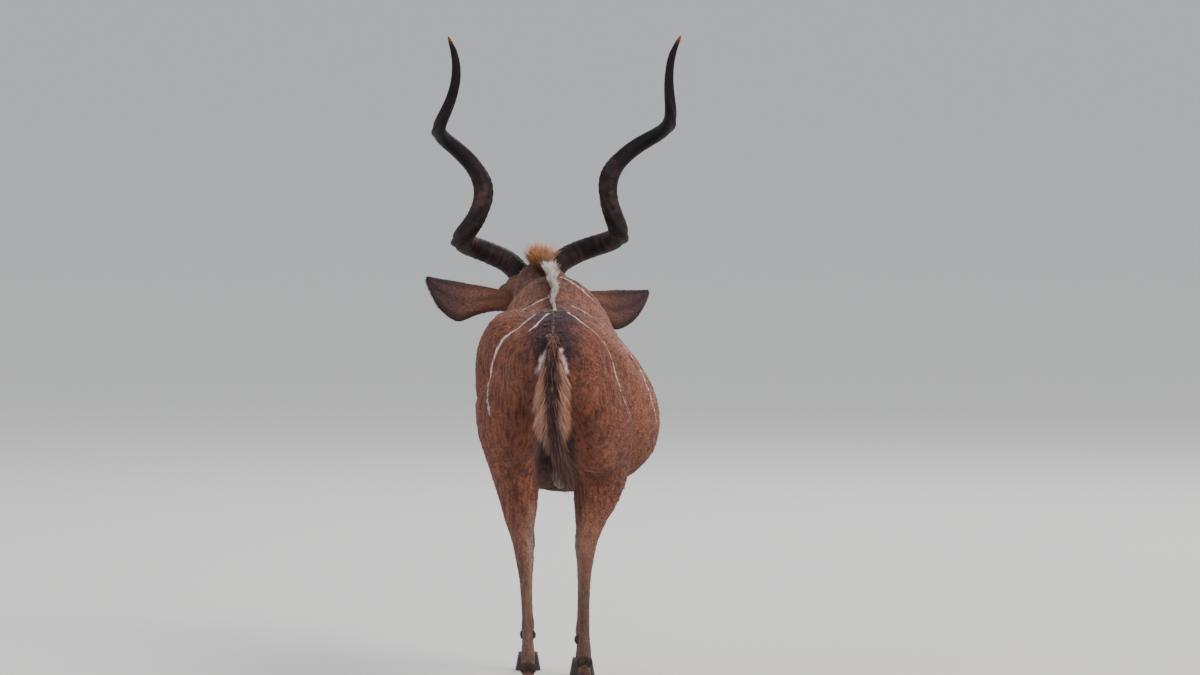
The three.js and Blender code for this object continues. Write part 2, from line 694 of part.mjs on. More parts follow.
for (const [name, leg] of Object.entries(legs)) {
  const whole = within(flesh, [...legRegion(leg), plane(Z_AXIS, v3(0, 0, HOOF_TOP))]);
  const joint = plane(Z_AXIS, v3(0, 0, CANNON_TOP[leg.end]));
  node(`leg_${name}_upper`, largest(within(whole, [joint], GAP / 2)), BROWN);
  node(`leg_${name}_lower`, largest(within(whole, [flip(joint)], GAP / 2)), GREY_BROWN);
  const [x, y] = leg.rows[leg.rows.length - 2];
  for (const side of [-1, 1])
    node(`hoof_${name}_${side === leg.side ? "outer" : "inner"}`, toe(x, y, side), HOOF_COLOUR);
}

// A three.js mesh of each solid
const kudu = new THREE.Group();
for (const [name, body] of solids) {
  const { vertProperties, triVerts, numProp } = body.getMesh();
  const geometry = new THREE.BufferGeometry();
  const positions = new Float32Array((vertProperties.length / numProp) * 3);
  for (let i = 0; i < positions.length / 3; i++)
    positions.set(vertProperties.subarray(i * numProp, i * numProp + 3), i * 3);
  geometry.setAttribute("position", new THREE.BufferAttribute(positions, 3));
  geometry.setIndex(new THREE.BufferAttribute(triVerts, 1));
  geometry.computeVertexNormals();
  const mesh = new THREE.Mesh(geometry, new THREE.MeshStandardMaterial(colours.get(name)));
  mesh.name = name;
  kudu.add(mesh);
}

// The group's origin is on the floor, under the middle of the whole animal
const box = new THREE.Box3().setFromObject(kudu);
const middle = box.getCenter(v3(0, 0, 0));
kudu.position.set(-middle.x, -middle.y, 0);

export default kudu;
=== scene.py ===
"""A greater kudu bull seen from behind: skin, coat, mane, horns, eyes and hooves over the fixed frame."""

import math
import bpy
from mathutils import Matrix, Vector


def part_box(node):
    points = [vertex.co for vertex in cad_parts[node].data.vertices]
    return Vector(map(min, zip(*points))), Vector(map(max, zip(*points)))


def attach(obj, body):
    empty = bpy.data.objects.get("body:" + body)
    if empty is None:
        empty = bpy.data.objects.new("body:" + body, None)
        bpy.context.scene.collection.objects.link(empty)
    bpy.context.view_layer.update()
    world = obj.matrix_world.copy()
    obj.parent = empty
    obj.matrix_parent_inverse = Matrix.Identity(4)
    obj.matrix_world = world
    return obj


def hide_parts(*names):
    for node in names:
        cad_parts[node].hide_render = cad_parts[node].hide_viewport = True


bl_info = {
    "name": "Kudu Bull",
    "version": (1, 0, 0),
    "blender": (4, 5, 0),
    "location": "View3D > Sidebar > Kudu",
    "description": "Skin, coat, mane, horns, eyes and hooves of a life-size kudu bull",
    "category": "Object",
}

import bmesh
import bpy
import numpy as np
from mathutils import Vector

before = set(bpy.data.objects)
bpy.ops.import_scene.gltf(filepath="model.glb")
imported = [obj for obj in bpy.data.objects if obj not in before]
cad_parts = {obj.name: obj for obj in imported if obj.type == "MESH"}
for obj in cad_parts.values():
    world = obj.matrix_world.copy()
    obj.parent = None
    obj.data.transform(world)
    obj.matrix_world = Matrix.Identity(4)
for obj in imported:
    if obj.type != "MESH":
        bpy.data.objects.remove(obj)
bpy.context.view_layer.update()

# Sizes in millimetres, before the shift to the frame's origin.
# +X is the bull's right and +Y the way it walks.

SIDES = {-1: "left", 1: "right"}

# Trunk, from the buttock to the chest: y, back line, belly line, half width, egg and sideways place
TRUNK = [
    [-8, 1165, 1085, 40, 0, 0],
    [14, 1205, 1040, 92, 0, 0],
    [70, 1258, 985, 150, 0.04, 0],
    [170, 1302, 925, 188, 0.04, 0],
    [310, 1322, 858, 216, 0.06, 6],
    [460, 1318, 792, 246, 0.12, 18],
    [640, 1308, 714, 290, 0.24, 38],
    [820, 1311, 666, 305, 0.28, 49],
    [1000, 1334, 690, 282, 0.22, 30],
    [1140, 1378, 716, 244, 0.12, 12],
    [1250, 1402, 744, 222, 0.02, 2],
    [1360, 1386, 790, 196, 0.08, 0],
    [1460, 1336, 866, 158, 0.14, 0],
    [1530, 1256, 950, 94, 0.1, 0],
    [1548, 1205, 1000, 48, 0, 0],
]

# Neck, from inside the chest to the poll: x, y, z, half width, half depth and egg
NECK = [
    [0, 1300, 1120, 134, 215, 0.24],
    [-2, 1410, 1166, 134, 194, 0.24],
    [-12, 1525, 1224, 122, 166, 0.2],
    [-30, 1630, 1276, 112, 138, 0.14],
    [-50, 1722, 1316, 104, 112, 0.08],
    [-64, 1798, 1330, 92, 86, 0.04],
    [-72, 1846, 1322, 68, 66, 0],
]

# Legs in a square stance, outwards x, from hip or shoulder to coronet: x, y, z, half width and half depth
HIND_LEG = [
    [66, 226, 1205, 60, 110],
    [108, 250, 1085, 104, 190],
    [134, 288, 950, 116, 220],
    [134, 334, 836, 94, 184],
    [124, 322, 728, 74, 126],
    [115, 268, 625, 53, 80],
    [107, 208, 548, 36, 60],
    [101, 181, 494, 33, 50],
    [98, 178, 432, 25, 34],
    [96, 185, 320, 20, 26],
    [95, 190, 222, 20, 26],
    [94, 193, 166, 26, 33],
    [94, 213, 112, 22, 27],
    [94, 232, 70, 25, 33],
    [94, 240, 40, 25, 34],
]
FORE_LEG = [
    [92, 1322, 1160, 60, 118],
    [128, 1326, 1000, 84, 136],
    [126, 1306, 860, 62, 104],
    [113, 1300, 758, 46, 72],
    [106, 1306, 645, 37, 52],
    [101, 1313, 532, 30, 37],
    [99, 1318, 458, 32, 36],
    [97, 1316, 402, 24, 27],
    [96, 1310, 300, 19, 23],
    [95, 1304, 212, 20, 24],
    [95, 1301, 162, 25, 30],
    [95, 1319, 108, 22, 26],
    [95, 1338, 68, 25, 32],
    [95, 1346, 40, 25, 33],
]
STRIDE = {"hind_left": -135, "hind_right": 135, "fore_left": 125, "fore_right": -115}
PIVOT_HEIGHT = {"hind": 1080, "fore": 1150}
FOOT_SWAY = {"hind": 12, "fore": 0}
# The right knee is turned out: how far, at what height, and the reach of the bulge up and down
KNEE_OUT = {"leg": "hind_right", "out": 42, "height": 770, "reach": 130}

# Hooves: two toes to a foot
HOOF_TOP = 62
TOE = {"length": 96, "half_width": 21, "heel": 30, "clearance": 3, "lean": 16}
DEWCLAW = {"height": 132, "back": 30, "aside": 17, "radius": 11}

# Head. Its own frame starts between the horn bases: x to the right, y down the face and z out of the brow.
HORN_BASE = np.array([-68.0, 1815.0, 1367.0])
HEAD_TURN = math.radians(12.7)
FACE_DROP = math.radians(42)
FACE = [
    [-104, -58, -112, 26, 0],
    [-88, -26, -140, 56, 0],
    [-50, -4, -170, 72, -0.05],
    [0, 4, -186, 76, -0.1],
    [50, 2, -184, 74, -0.12],
    [105, -6, -172, 66, -0.12],
    [165, -18, -152, 54, -0.06],
    [225, -28, -136, 44, 0],
    [285, -36, -124, 38, 0.05],
    [335, -42, -117, 37, 0.05],
    [375, -50, -112, 37, 0.02],
    [402, -62, -104, 31, 0],
    [414, -72, -96, 18, 0],
]
EYE_PLACE = [58, 92, -47]
EYE_RADIUS = 18.5
MOUTH = {"corner": 292, "tip": 420, "height": -101}
NOSTRIL = [19, 404, -68]
# The white chevron's arm on each side, laid flat, and the spots on each cheek: y and z
CHEVRON = ([44, 108, 0], [7, 156, 0])
CHEEK_SPOTS = ((158, -108), (196, -104), (128, -126))

# Ears: each points out in the head's level frame. The leaf's rows are the distance from the root,
# the half width, and how far the middle of the leaf hangs below the line from root to tip.
EAR = {"root": [80, 7, -107], "wall": 5, "thin": 0.45, "sunk": 14, "flatter": 0.55}
EAR_LEAF = [
    [0, 33, 2],
    [50, 35, 8],
    [100, 42, 16],
    [150, 56, 30],
    [200, 72, 48],
    [242, 67, 47],
    [280, 53, 40],
    [312, 34, 27],
    [333, 17, 14],
    [343, 4, 4],
]
EAR_OPEN = {"root": 1.78, "tip": 0.79}
EAR_RAISE = {-1: 0.26, 1: 0.08}
EAR_SWEEP = {-1: 0.1, 1: 0.2}

# Horns: an axis that rises, leans outwards and leans back, and the winding round it
HORN_AXIS = {"base": 96, "height": 841, "out": [0.343, 0.012], "back": [0.352, 0.236]}
WINDING = {"radius": [68.6, 48.1, 56], "start": 3.051, "turn": 13.196, "quicken": 0.3075}
HORN_SEAT = {"inwards": 41, "within": 0.06, "sunk": 34, "points": 26}
HORN = {"base_radius": 41, "tip_radius": 1.6, "taper": 0.48, "keel": 0.2}

# Tail: the dock with x, y, z, half width and half depth
DOCK = [
    [0, 96, 1215, 26, 22],
    [0, 34, 1236, 24, 20],
    [0, -14, 1216, 20, 17],
    [-1, -42, 1150, 19, 14],
    [-2, -50, 1060, 17, 12],
    [2, -46, 970, 14, 10],
    [16, -38, 890, 11, 8],
    [34, -32, 835, 5, 5],
]

# How far the tail's hair spreads to each side: heights and half widths
TAIL = {"spread": [[760, 860, 930, 1000, 1060, 1105, 1165, 1200], [20, 30, 44, 58, 68, 66, 50, 26]]}

# White stripes: points by place along the back and by share of a half turn round the trunk
STRIPES = {
    "right hip": [
        [560, 0.02], [310, 0.087], [245, 0.18], [239, 0.273], [262, 0.345], [262, 0.41],
        [262, 0.472], [232, 0.553], [242, 0.604], [266, 0.633], [300, 0.66],
    ],
    "right flank": [
        [905, 0.03], [880, 0.1], [850, 0.17], [795, 0.24], [738, 0.31], [672, 0.4],
        [640, 0.468], [654, 0.525], [672, 0.572], [690, 0.61], [712, 0.66],
    ],
    "right shoulder": [[1190, 0.02], [1160, 0.067], [1147, 0.11], [1150, 0.17]],
    "left hip": [
        [560, 0.02], [362, 0.09], [245, 0.169], [220, 0.254], [209, 0.329], [211, 0.397],
        [218, 0.452], [220, 0.509], [178, 0.586], [142, 0.642], [118, 0.69],
    ],
    "left flank": [
        [978, 0.03], [962, 0.099], [990, 0.152], [1030, 0.214], [1050, 0.275], [1040, 0.34],
        [1020, 0.42], [1005, 0.5], [1000, 0.58],
    ],
    "left side": [
        [690, 0.05], [705, 0.14], [728, 0.24], [748, 0.36], [757, 0.45], [753, 0.514],
        [742, 0.58], [735, 0.65],
    ],
    "left croup": [[295, 0.03], [207, 0.065], [154, 0.106], [130, 0.165]],
}
# Stripes that both sides have: place on the back, and how far down the side each begins and ends
SHOULDER_STRIPES = [
    [905, 0.38, 0.64],
    [1030, 0.31, 0.63],
    [1130, 0.27, 0.58],
    [1220, 0.24, 0.52],
    [1300, 0.2, 0.42],
]
CREST = {
    "from": 318,
    "to": 1385,
    "half_width": [[318, 560, 900, 1040, 1240, 1385], [1, 3, 5, 4, 5, 3]],
    "aside": [[318, 700, 960, 1060, 1240, 1385], [4, 0, -12, -2, -20, -22]],
}
# Length of half a turn round the trunk, for distances across a stripe
HALF_TURN = 817
# The way the hair hangs on the haunch, and lies on the flank
HAUNCH_LIE = [0.0, -0.25, -1.0]
FLANK_LIE = [0.0, -1.0, -0.45]
# Swellings of muscle, each a centre and its reach: the left hip, which is the higher one because the
# right hind leg rests, and the root of the left ear behind the turned head
SWELLINGS = [
    ([-120, 420, 1128], [137, 254, 180]),
    ([-158, 1788, 1298], [48, 43, 44]),
    ([-122, 1764, 1328], [54, 49, 46]),
]
SCROTUM = {"middle": [22, 330, 790], "radii": [32, 36, 74]}
# White hair beside the tail's root, to the left and right of it, and the bare spot
TAIL_PATCHES = [
    ([-25, 17, 1200], [-38, 4, 1162], [-52, -3, 1126]),
    ([25, 17, 1200], [37, 3, 1166], [47, -5, 1130]),
]
BARE_SPOT = ([58, -2, 1165], [62, -4, 1146])
# The whorl on the right haunch: its middle and its reach
WHORL = {"middle": [180, 110, 805], "reach": 85}

HAIRS = {
    "nape": 3900,
    "crest": 4200,
    "throat": 3600,
    "chin": 420,
    "vanes": 4100,
    "middle": 2600,
    "brush": 1500,
}
EAR_TUFTS = 14000
# Rings along one long hair, and where its colour turns to the tip's
HAIR_STEPS = 4
TIP_PLACE, TIP_BLEND = 0.5, 0.35
# Rows and columns of an ear, points along a horn, and the stretch that evens out its keel's turn
EAR_ROWS, EAR_COLUMNS = 54, 36
HORN_STEPS = 420
KEEL_WINDOW = 31
# Finest part of the body's skin and of the head, in metres
SKIN_VOXEL, HEAD_VOXEL = 0.008, 0.0022

# The cuts across the base of the neck and the tops of the legs: a point on each, and the way over it
NECK_CUT = {"y": 1402, "z": 1380, "ahead": 0.9, "up": 0.43}
LEG_CUT = {
    "hind": {"y": 300, "z": 846, "ahead": 0.5, "up": 0.866},
    "fore": {"y": 1300, "z": 790, "ahead": -0.4, "up": 0.917},
}
# Hind and fore legs part at this place along the back; above the free leg, thighs stay off the middle
LEGS_PART = 800
FREE_LEG = 640
INNER_THIGH = 26
BACK_OF_HEAD = -74
# Where the coat's pieces meet: ahead of the haunch, behind the shoulder, and under the thigh
COAT_CUTS = {"haunch": 430, "shoulder": 1160, "thigh": 600}

REGIONS = ("trunk", "neck", "head", "hind_left", "hind_right", "fore_left", "fore_right")
# Places in REGIONS; every place from LEGS_AT on is a leg
TRUNK_AT, NECK_AT, HEAD_AT, LEGS_AT = range(4)
# Each region's rectangle in the coat's unwrap: left, bottom, width and height
UNWRAP = {
    "trunk": (0.01, 0.01, 0.48, 0.48),
    "neck": (0.51, 0.01, 0.23, 0.23),
    "head": (0.76, 0.01, 0.23, 0.23),
    "hind_left": (0.51, 0.26, 0.11, 0.23),
    "hind_right": (0.63, 0.26, 0.11, 0.23),
    "fore_left": (0.76, 0.26, 0.11, 0.23),
    "fore_right": (0.88, 0.26, 0.11, 0.23),
    "tail": (0.01, 0.51, 0.1, 0.3),
    "ears": (0.2, 0.51, 0.4, 0.4),
}
# How large one tuft's patch is on the unwrap
BAKE_PATCH = 0.003

# The photograph's camera: what it looks at, how steeply in degrees and from how far, and its lens
VIEW = {"target": [157, 40, 1240], "raised": 3, "away": 30, "lens": 270, "sensor": 36}
# Lamps: place, size, power and colour
LAMPS = {
    "key": ((8, -8, 9), 6.0, 1650, (1, 0.95, 0.88)),
    "fill": ((-9, -7, 5), 8.0, 480, (0.88, 0.93, 1)),
    "rim": ((3, 9, 8), 6.0, 600, (1, 1, 1)),
}
FLOOR = {"size": 600, "below": 0.0006}

# What one step makes for the next: the body's forms, and the skin's points, normals and triangles
SHARED = {}

rng = np.random.default_rng(41)


def side_of(name):
    """-1 for what is named as left, 1 for what is named as right."""
    return -1 if "left" in name else 1


def unit(vectors):
    """Vectors brought to length one."""
    lengths = np.linalg.norm(vectors, axis=-1, keepdims=True)
    return vectors / np.maximum(lengths, 1e-9)


def ease(low, high, value):
    """A smooth step from 0 at low to 1 at high."""
    share = np.clip((value - low) / (high - low), 0, 1)
    return share * share * (3 - 2 * share)


def spline(points):
    """A centripetal curve through points, given as a function of a share from 0 to 1."""
    points = np.array(points, float)
    count = len(points)
    held = np.vstack([2 * points[0] - points[1], points, 2 * points[-1] - points[-2]])

    def at(share):
        place = np.clip(np.atleast_1d(share), 0, 1) * (count - 1)
        start = np.clip(np.floor(place).astype(int), 0, count - 2)
        rest = (place - start)[:, None]
        a, b, c, d = (held[start + i] for i in range(4))
        step = [np.sum((q - p) ** 2, axis=1, keepdims=True) ** 0.25 for p, q in ((a, b), (b, c), (c, d))]
        step[1] = np.where(step[1] < 1e-4, 1.0, step[1])
        step[0] = np.where(step[0] < 1e-4, step[1], step[0])
        step[2] = np.where(step[2] < 1e-4, step[1], step[2])
        leave = (b - a) / step[0] - (c - a) / (step[0] + step[1]) + (c - b) / step[1]
        arrive = (c - b) / step[1] - (d - b) / (step[1] + step[2]) + (d - c) / step[2]
        leave, arrive = leave * step[1], arrive * step[1]
        square = 3 * (c - b) - 2 * leave - arrive
        cube = 2 * (b - c) + leave + arrive
        return b + rest * (leave + rest * (square + rest * cube))

    return at


def nearest_of(points, line):
    """Which point of a line is nearest to each of these points, in blocks that spare memory."""
    nearest = np.empty(len(points), int)
    size = 10000
    for start in range(0, len(points), size):
        block = points[start : start + size]
        nearest[start : start + size] = ((block[:, None] - line) ** 2).sum(2).argmin(1)
    return nearest


class Limb:
    """A body form through rows of x, y, z, half width, half depth and egg."""

    def __init__(self, rows, spine=False, grow=0.0):
        rows = [list(row) + [0] * (6 - len(row)) for row in rows]
        self.path = spline([row[:3] for row in rows])
        self.sizes = spline([[row[3], row[4], 100 * row[5]] for row in rows])
        self.spine = spine
        self.grow = grow

    def frame(self, along):
        """The middle of the form at each share, and the ways ahead, sideways and upwards there."""
        ahead = unit(self.path(np.minimum(1, along + 1e-4)) - self.path(np.maximum(0, along - 1e-4)))
        side = unit(np.array([1.0, 0, 0]) - ahead * ahead[:, :1])
        return self.path(along), ahead, side, np.cross(side, ahead)

    def place(self, along, angle, reach=1.0):
        """Points of the form by share along it and angle round it; reach 1 is its surface."""
        along, angle = np.atleast_1d(along).astype(float), np.atleast_1d(angle).astype(float)
        along, angle = np.broadcast_arrays(along, angle)
        reach = np.broadcast_to(reach, along.shape)
        centre, _, side, front = self.frame(along)
        size = self.sizes(along)
        rise = np.cos(angle)
        bulge = 1 - size[:, 2] / 100 * rise
        out = reach * (size[:, 0] + self.grow) * np.sin(angle) * bulge
        up = reach * (size[:, 1] + self.grow) * rise
        point = centre + side * out[:, None] + front * up[:, None]
        if self.spine:
            point[:, 0] -= centre[:, 0] * np.maximum(0, rise) ** 2
        return point

    def where(self, points):
        """The share along and the angle round this form nearest to each point."""
        shares = np.linspace(0, 1, 70)
        nearest = nearest_of(points, self.path(shares))
        centre, _, side, front = self.frame(shares)
        away = points - centre[nearest]
        across = (away * side[nearest]).sum(1)
        upwards = (away * front[nearest]).sum(1)
        return shares[nearest], np.arctan2(across, upwards)


def leg_rows(rows, end, side):
    """The rows of one leg, swung forwards or back from its pivot."""
    name = f"{end}_{SIDES[side]}"
    out = KNEE_OUT["out"] if name == KNEE_OUT["leg"] else 0
    swung = []
    for x, y, z, width, depth in rows:
        swing = max(0, 1 - z / PIVOT_HEIGHT[end])
        knee = out * math.exp(-(((z - KNEE_OUT["height"]) / KNEE_OUT["reach"]) ** 2))
        sideways = side * (x + 0.6 * knee) + FOOT_SWAY[end] * swing
        swung.append([sideways, y + STRIDE[name] * swing, z, width + 0.4 * knee, depth])
    return swung


LEGS = {
    f"{end}_{SIDES[side]}": leg_rows(rows, end, side)
    for end, rows in (("hind", HIND_LEG), ("fore", FORE_LEG))
    for side in SIDES
}
TRUNK_ROWS = [
    [x, y, (top + bottom) / 2, width, (top - bottom) / 2, egg] for y, top, bottom, width, egg, x in TRUNK
]
FACE_ROWS = [
    [0, y, (top + bottom) / 2, width, (top - bottom) / 2, egg] for y, top, bottom, width, egg in FACE
]


def frame_shift():
    """How far the frame's origin lies from that of these sizes, by the left hind foot's outer toe."""
    low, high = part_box("hoof_hind_left_outer")
    x, y = LEGS["hind_left"][-2][:2]
    centre_x = x - TOE["half_width"] - TOE["clearance"]
    toe_tip = y + TOE["lean"] + TOE["length"] - TOE["heel"]
    return np.array([500 * (low.x + high.x) - centre_x, 1000 * high.y - toe_tip, 0.0])


SHIFT = frame_shift()


def turned(turn, drop=0.0):
    """A matrix whose columns are the right, forward and up ways of a head that is turned and lowered."""
    c, s = math.cos(turn), math.sin(turn)
    level = np.array([[c, -s, 0], [s, c, 0], [0, 0, 1.0]])
    c, s = math.cos(-drop), math.sin(-drop)
    return level @ np.array([[1.0, 0, 0], [0, c, -s], [0, s, c]])


LEVEL_WAYS = turned(HEAD_TURN)
HEAD_WAYS = turned(HEAD_TURN, FACE_DROP)


def from_head(points):
    """From the head's own frame to the body's sizes."""
    return np.asarray(points, float) @ HEAD_WAYS.T + HORN_BASE


def to_head(points):
    """From the body's sizes to the head's own frame."""
    return (np.asarray(points, float) - HORN_BASE) @ HEAD_WAYS


def to_row(points):
    """Millimetres of these sizes to metres of the frame."""
    return (np.asarray(points, float) + SHIFT) / 1000


def to_sizes(points):
    """Metres of the frame to millimetres of these sizes."""
    return np.asarray(points, float) * 1000 - SHIFT


def paint(red, green, blue):
    """A colour from 0 to 255 as the shader wants it."""
    share = np.array([red, green, blue]) / 255
    return np.where(share <= 0.04045, share / 12.92, ((share + 0.055) / 1.055) ** 2.4)


# Colours of hair, skin, horn and hoof, each part from 0 to 255
SHADES = {
    "flank": (142, 90, 71),
    "saddle": (58, 37, 42),
    "stripe": (232, 208, 198),
    "thigh": (116, 67, 51),
    "shoulder": (132, 98, 84),
    "low_flank": (116, 74, 58),
    # Painted shade under the belly
    "belly": (70, 50, 44),
    "back_line": (84, 54, 48),
    "shank": (138, 98, 78),
    "lower_shank": (110, 88, 76),
    "shank_back": (78, 56, 50),
    "shank_inside": (150, 124, 108),
    # Painted shade between the thighs
    "groin_shade": (44, 28, 28),
    "scrotum": (186, 168, 152),
    "dewclaw": (40, 32, 30),
    "spine_line": (196, 152, 140),
    "bare_spot": (190, 84, 44),
    "neck_base": (134, 96, 80),
    "neck": (118, 80, 69),
    "nape": (88, 58, 52),
    "cheek": (122, 96, 84),
    "face": (122, 88, 70),
    "brow": (88, 60, 50),
    "muzzle": (48, 36, 34),
    "mouth": (40, 28, 27),
    "lids": (36, 26, 24),
    "eye_ring": (168, 134, 112),
    "poll": (122, 84, 73),
    "nape_root": (82, 56, 48),
    "fan_root": (96, 50, 32),
    "nape_tip": (108, 76, 62),
    "fan_tip": (214, 154, 108),
    "crest": (250, 242, 234),
    "crest_brown": (120, 76, 60),
    "throat_pale_root": (150, 126, 108),
    "throat_root": (62, 46, 40),
    "throat_pale_tip": (206, 186, 168),
    "throat_tip": (44, 32, 30),
    "chin": (206, 188, 172),
    "tail_dock": (60, 40, 38),
    "vane_root": (84, 52, 44),
    "vane_pale_root": (150, 104, 82),
    "vane_low_root": (60, 38, 36),
    "vane_tip": (150, 100, 82),
    "vane_pale_tip": (206, 156, 132),
    "vane_low_tip": (96, 62, 56),
    "tail_middle": (54, 32, 34),
    "middle_pale_root": (120, 74, 60),
    "middle_pale_tip": (176, 124, 106),
    "brush_root": (58, 34, 34),
    "brush_tip": (60, 36, 38),
    "brush_pale_tip": (122, 78, 66),
    "ear_back": (124, 80, 62),
    "ear_low": (78, 52, 54),
    "ear_inside": (190, 160, 140),
    "ear_hollow": (140, 100, 90),
    "ear_rim": (44, 30, 36),
    "horn": (38, 23, 24),
    "horn_top": (15, 9, 13),
    # The next three are painted light: highlight on the horn's rings, shade between them and shade beside
    # the keel
    "horn_highlight": (84, 58, 54),
    "horn_groove_shade": (22, 14, 16),
    "horn_keel_shade": (26, 17, 20),
    "horn_tip": (122, 74, 50),
    "eyeball": (52, 38, 33),
    "iris": (44, 25, 15),
    "pupil": (6, 5, 6),
    "hoof": (44, 36, 34),
    "hoof_top": (78, 64, 56),
}
PAINTS = {name: paint(*shade) for name, shade in SHADES.items()}


def deselect():
    bpy.ops.object.select_all(action="DESELECT")


def pick(*objects):
    """Selects these objects, with the first one active."""
    deselect()
    for one in objects:
        one.select_set(True)
    bpy.context.view_layer.objects.active = objects[0]


def vectors_of(rows, name):
    """One vector for each row of a mesh's data."""
    flat = np.empty(len(rows) * 3, np.float32)
    rows.foreach_get(name, flat)
    return flat.reshape(-1, 3).astype(float)


def points_of(piece):
    return vectors_of(piece.data.vertices, "co")


def normals_of(piece):
    return vectors_of(piece.data.vertex_normals, "vector")


def put_points(piece, points):
    piece.data.vertices.foreach_set("co", np.asarray(points, np.float32).ravel())
    piece.data.update()


def turn_outwards(piece):
    """Turns the faces of a closed piece outwards."""
    pick(piece)
    bpy.ops.object.mode_set(mode="EDIT")
    bpy.ops.mesh.select_all(action="SELECT")
    bpy.ops.mesh.normals_make_consistent(inside=False)
    bpy.ops.object.mode_set(mode="OBJECT")


def shade_smooth(piece):
    pick(piece)
    bpy.ops.object.shade_smooth()


def ball(name, sides, rings, place):
    """A sphere drawn over a closed form: place gives the points for shares along it, angles and reaches."""
    deselect()
    bpy.ops.mesh.primitive_uv_sphere_add(segments=sides, ring_count=rings + 1, radius=1)
    piece = bpy.context.object
    piece.name = name
    points = points_of(piece)
    row = np.rint(np.arccos(np.clip(points[:, 2], -1, 1)) / math.pi * (rings + 1))
    along = np.clip((row - 1) / (rings - 1), 0, 1)
    reach = np.where((row == 0) | (row == rings + 1), 0.0, 1.0)
    put_points(piece, to_row(place(along, np.arctan2(points[:, 1], points[:, 0]), reach)))
    turn_outwards(piece)
    return piece


def egg(name, centre, radii, ways=None, sides=32, rings=24):
    """An egg-shaped form in the head's frame, or in any other given by its centre and ways."""
    ways = HEAD_WAYS if ways is None else ways
    base = HORN_BASE if ways is HEAD_WAYS else np.zeros(3)

    def place(along, angle, reach):
        tilt = math.pi * (0.02 + 0.96 * along)
        out = np.sin(tilt) * reach
        local = np.stack([np.cos(angle) * out, np.sin(angle) * out, np.cos(tilt)], 1)
        return (local * np.array(radii) + np.array(centre)) @ ways.T + base

    return ball(name, sides, rings, place)


def join(name, pieces):
    """Makes one piece of several."""
    pick(*pieces)
    if len(pieces) > 1:
        bpy.ops.object.join()
    pieces[0].name = name
    pieces[0].data.name = name
    return pieces[0]


def apply(piece, kind, **settings):
    """Adds a modifier to a piece and applies it."""
    pick(piece)
    modifier = piece.modifiers.new(kind.title(), kind)
    for key, value in settings.items():
        setattr(modifier, key, value)
    bpy.ops.object.modifier_apply(modifier=modifier.name)


def remesh(piece, voxel):
    apply(piece, "REMESH", mode="VOXEL", voxel_size=voxel, adaptivity=0)


def weigh(piece, name, weights):
    """A vertex group with these weights, in steps of a tenth."""
    group = piece.vertex_groups.new(name=name)
    for level in range(1, 11):
        chosen = np.flatnonzero(np.rint(weights * 10) == level)
        if len(chosen):
            group.add(chosen.tolist(), level / 10, "REPLACE")
    return group.name


def smooth(piece, times, weights=None):
    settings = {"factor": 0.5, "iterations": times}
    if weights is not None:
        settings["vertex_group"] = weigh(piece, "soft", weights)
    apply(piece, "SMOOTH", **settings)
    if weights is not None:
        piece.vertex_groups.clear()


def colour_points(piece, colours):
    """Stores the coat's colour on every point of a piece."""
    layer = piece.data.color_attributes.new("coat", "FLOAT_COLOR", "POINT")
    flat = np.ones((len(piece.data.vertices), 4), np.float32)
    flat[:, :3] = colours
    layer.data.foreach_set("color", flat.ravel())


def number_points(piece, name, values):
    """Stores a value on every point of a piece."""
    layer = piece.data.attributes.new(name, "FLOAT", "POINT")
    layer.data.foreach_set("value", np.asarray(values, np.float32))


def mesh_piece(name, points, triangles, colours, root_uv=None, per_tuft=1):
    """A piece from arrays, for the many small tufts and locks of hair."""
    mesh = bpy.data.meshes.new(name)
    mesh.vertices.add(len(points))
    mesh.vertices.foreach_set("co", np.asarray(points, np.float32).ravel())
    mesh.loops.add(3 * len(triangles))
    corner = np.asarray(triangles, np.int32).ravel()
    mesh.loops.foreach_set("vertex_index", corner)
    mesh.polygons.add(len(triangles))
    mesh.polygons.foreach_set("loop_start", np.arange(0, 3 * len(triangles), 3, dtype=np.int32))
    mesh.update(calc_edges=True)
    piece = bpy.data.objects.new(name, mesh)
    bpy.context.scene.collection.objects.link(piece)
    colour_points(piece, colours)
    if root_uv is not None:
        layer = mesh.uv_layers.new(name="OFBake")
        tuft = corner // per_tuft
        step = corner % per_tuft
        turn = 2 * math.pi * step / per_tuft
        patch = np.stack([np.cos(turn), np.sin(turn)], 1) * BAKE_PATCH / 2
        layer.data.foreach_set("uv", (root_uv[tuft] + patch).astype(np.float32).ravel())
    return piece


def set_socket(node, name, value):
    node.inputs[name].default_value = value


def new_material(name):
    material = bpy.data.materials.new(name)
    material.use_nodes = True
    nodes = material.node_tree.nodes
    return material, nodes, material.node_tree.links, nodes["Principled BSDF"]


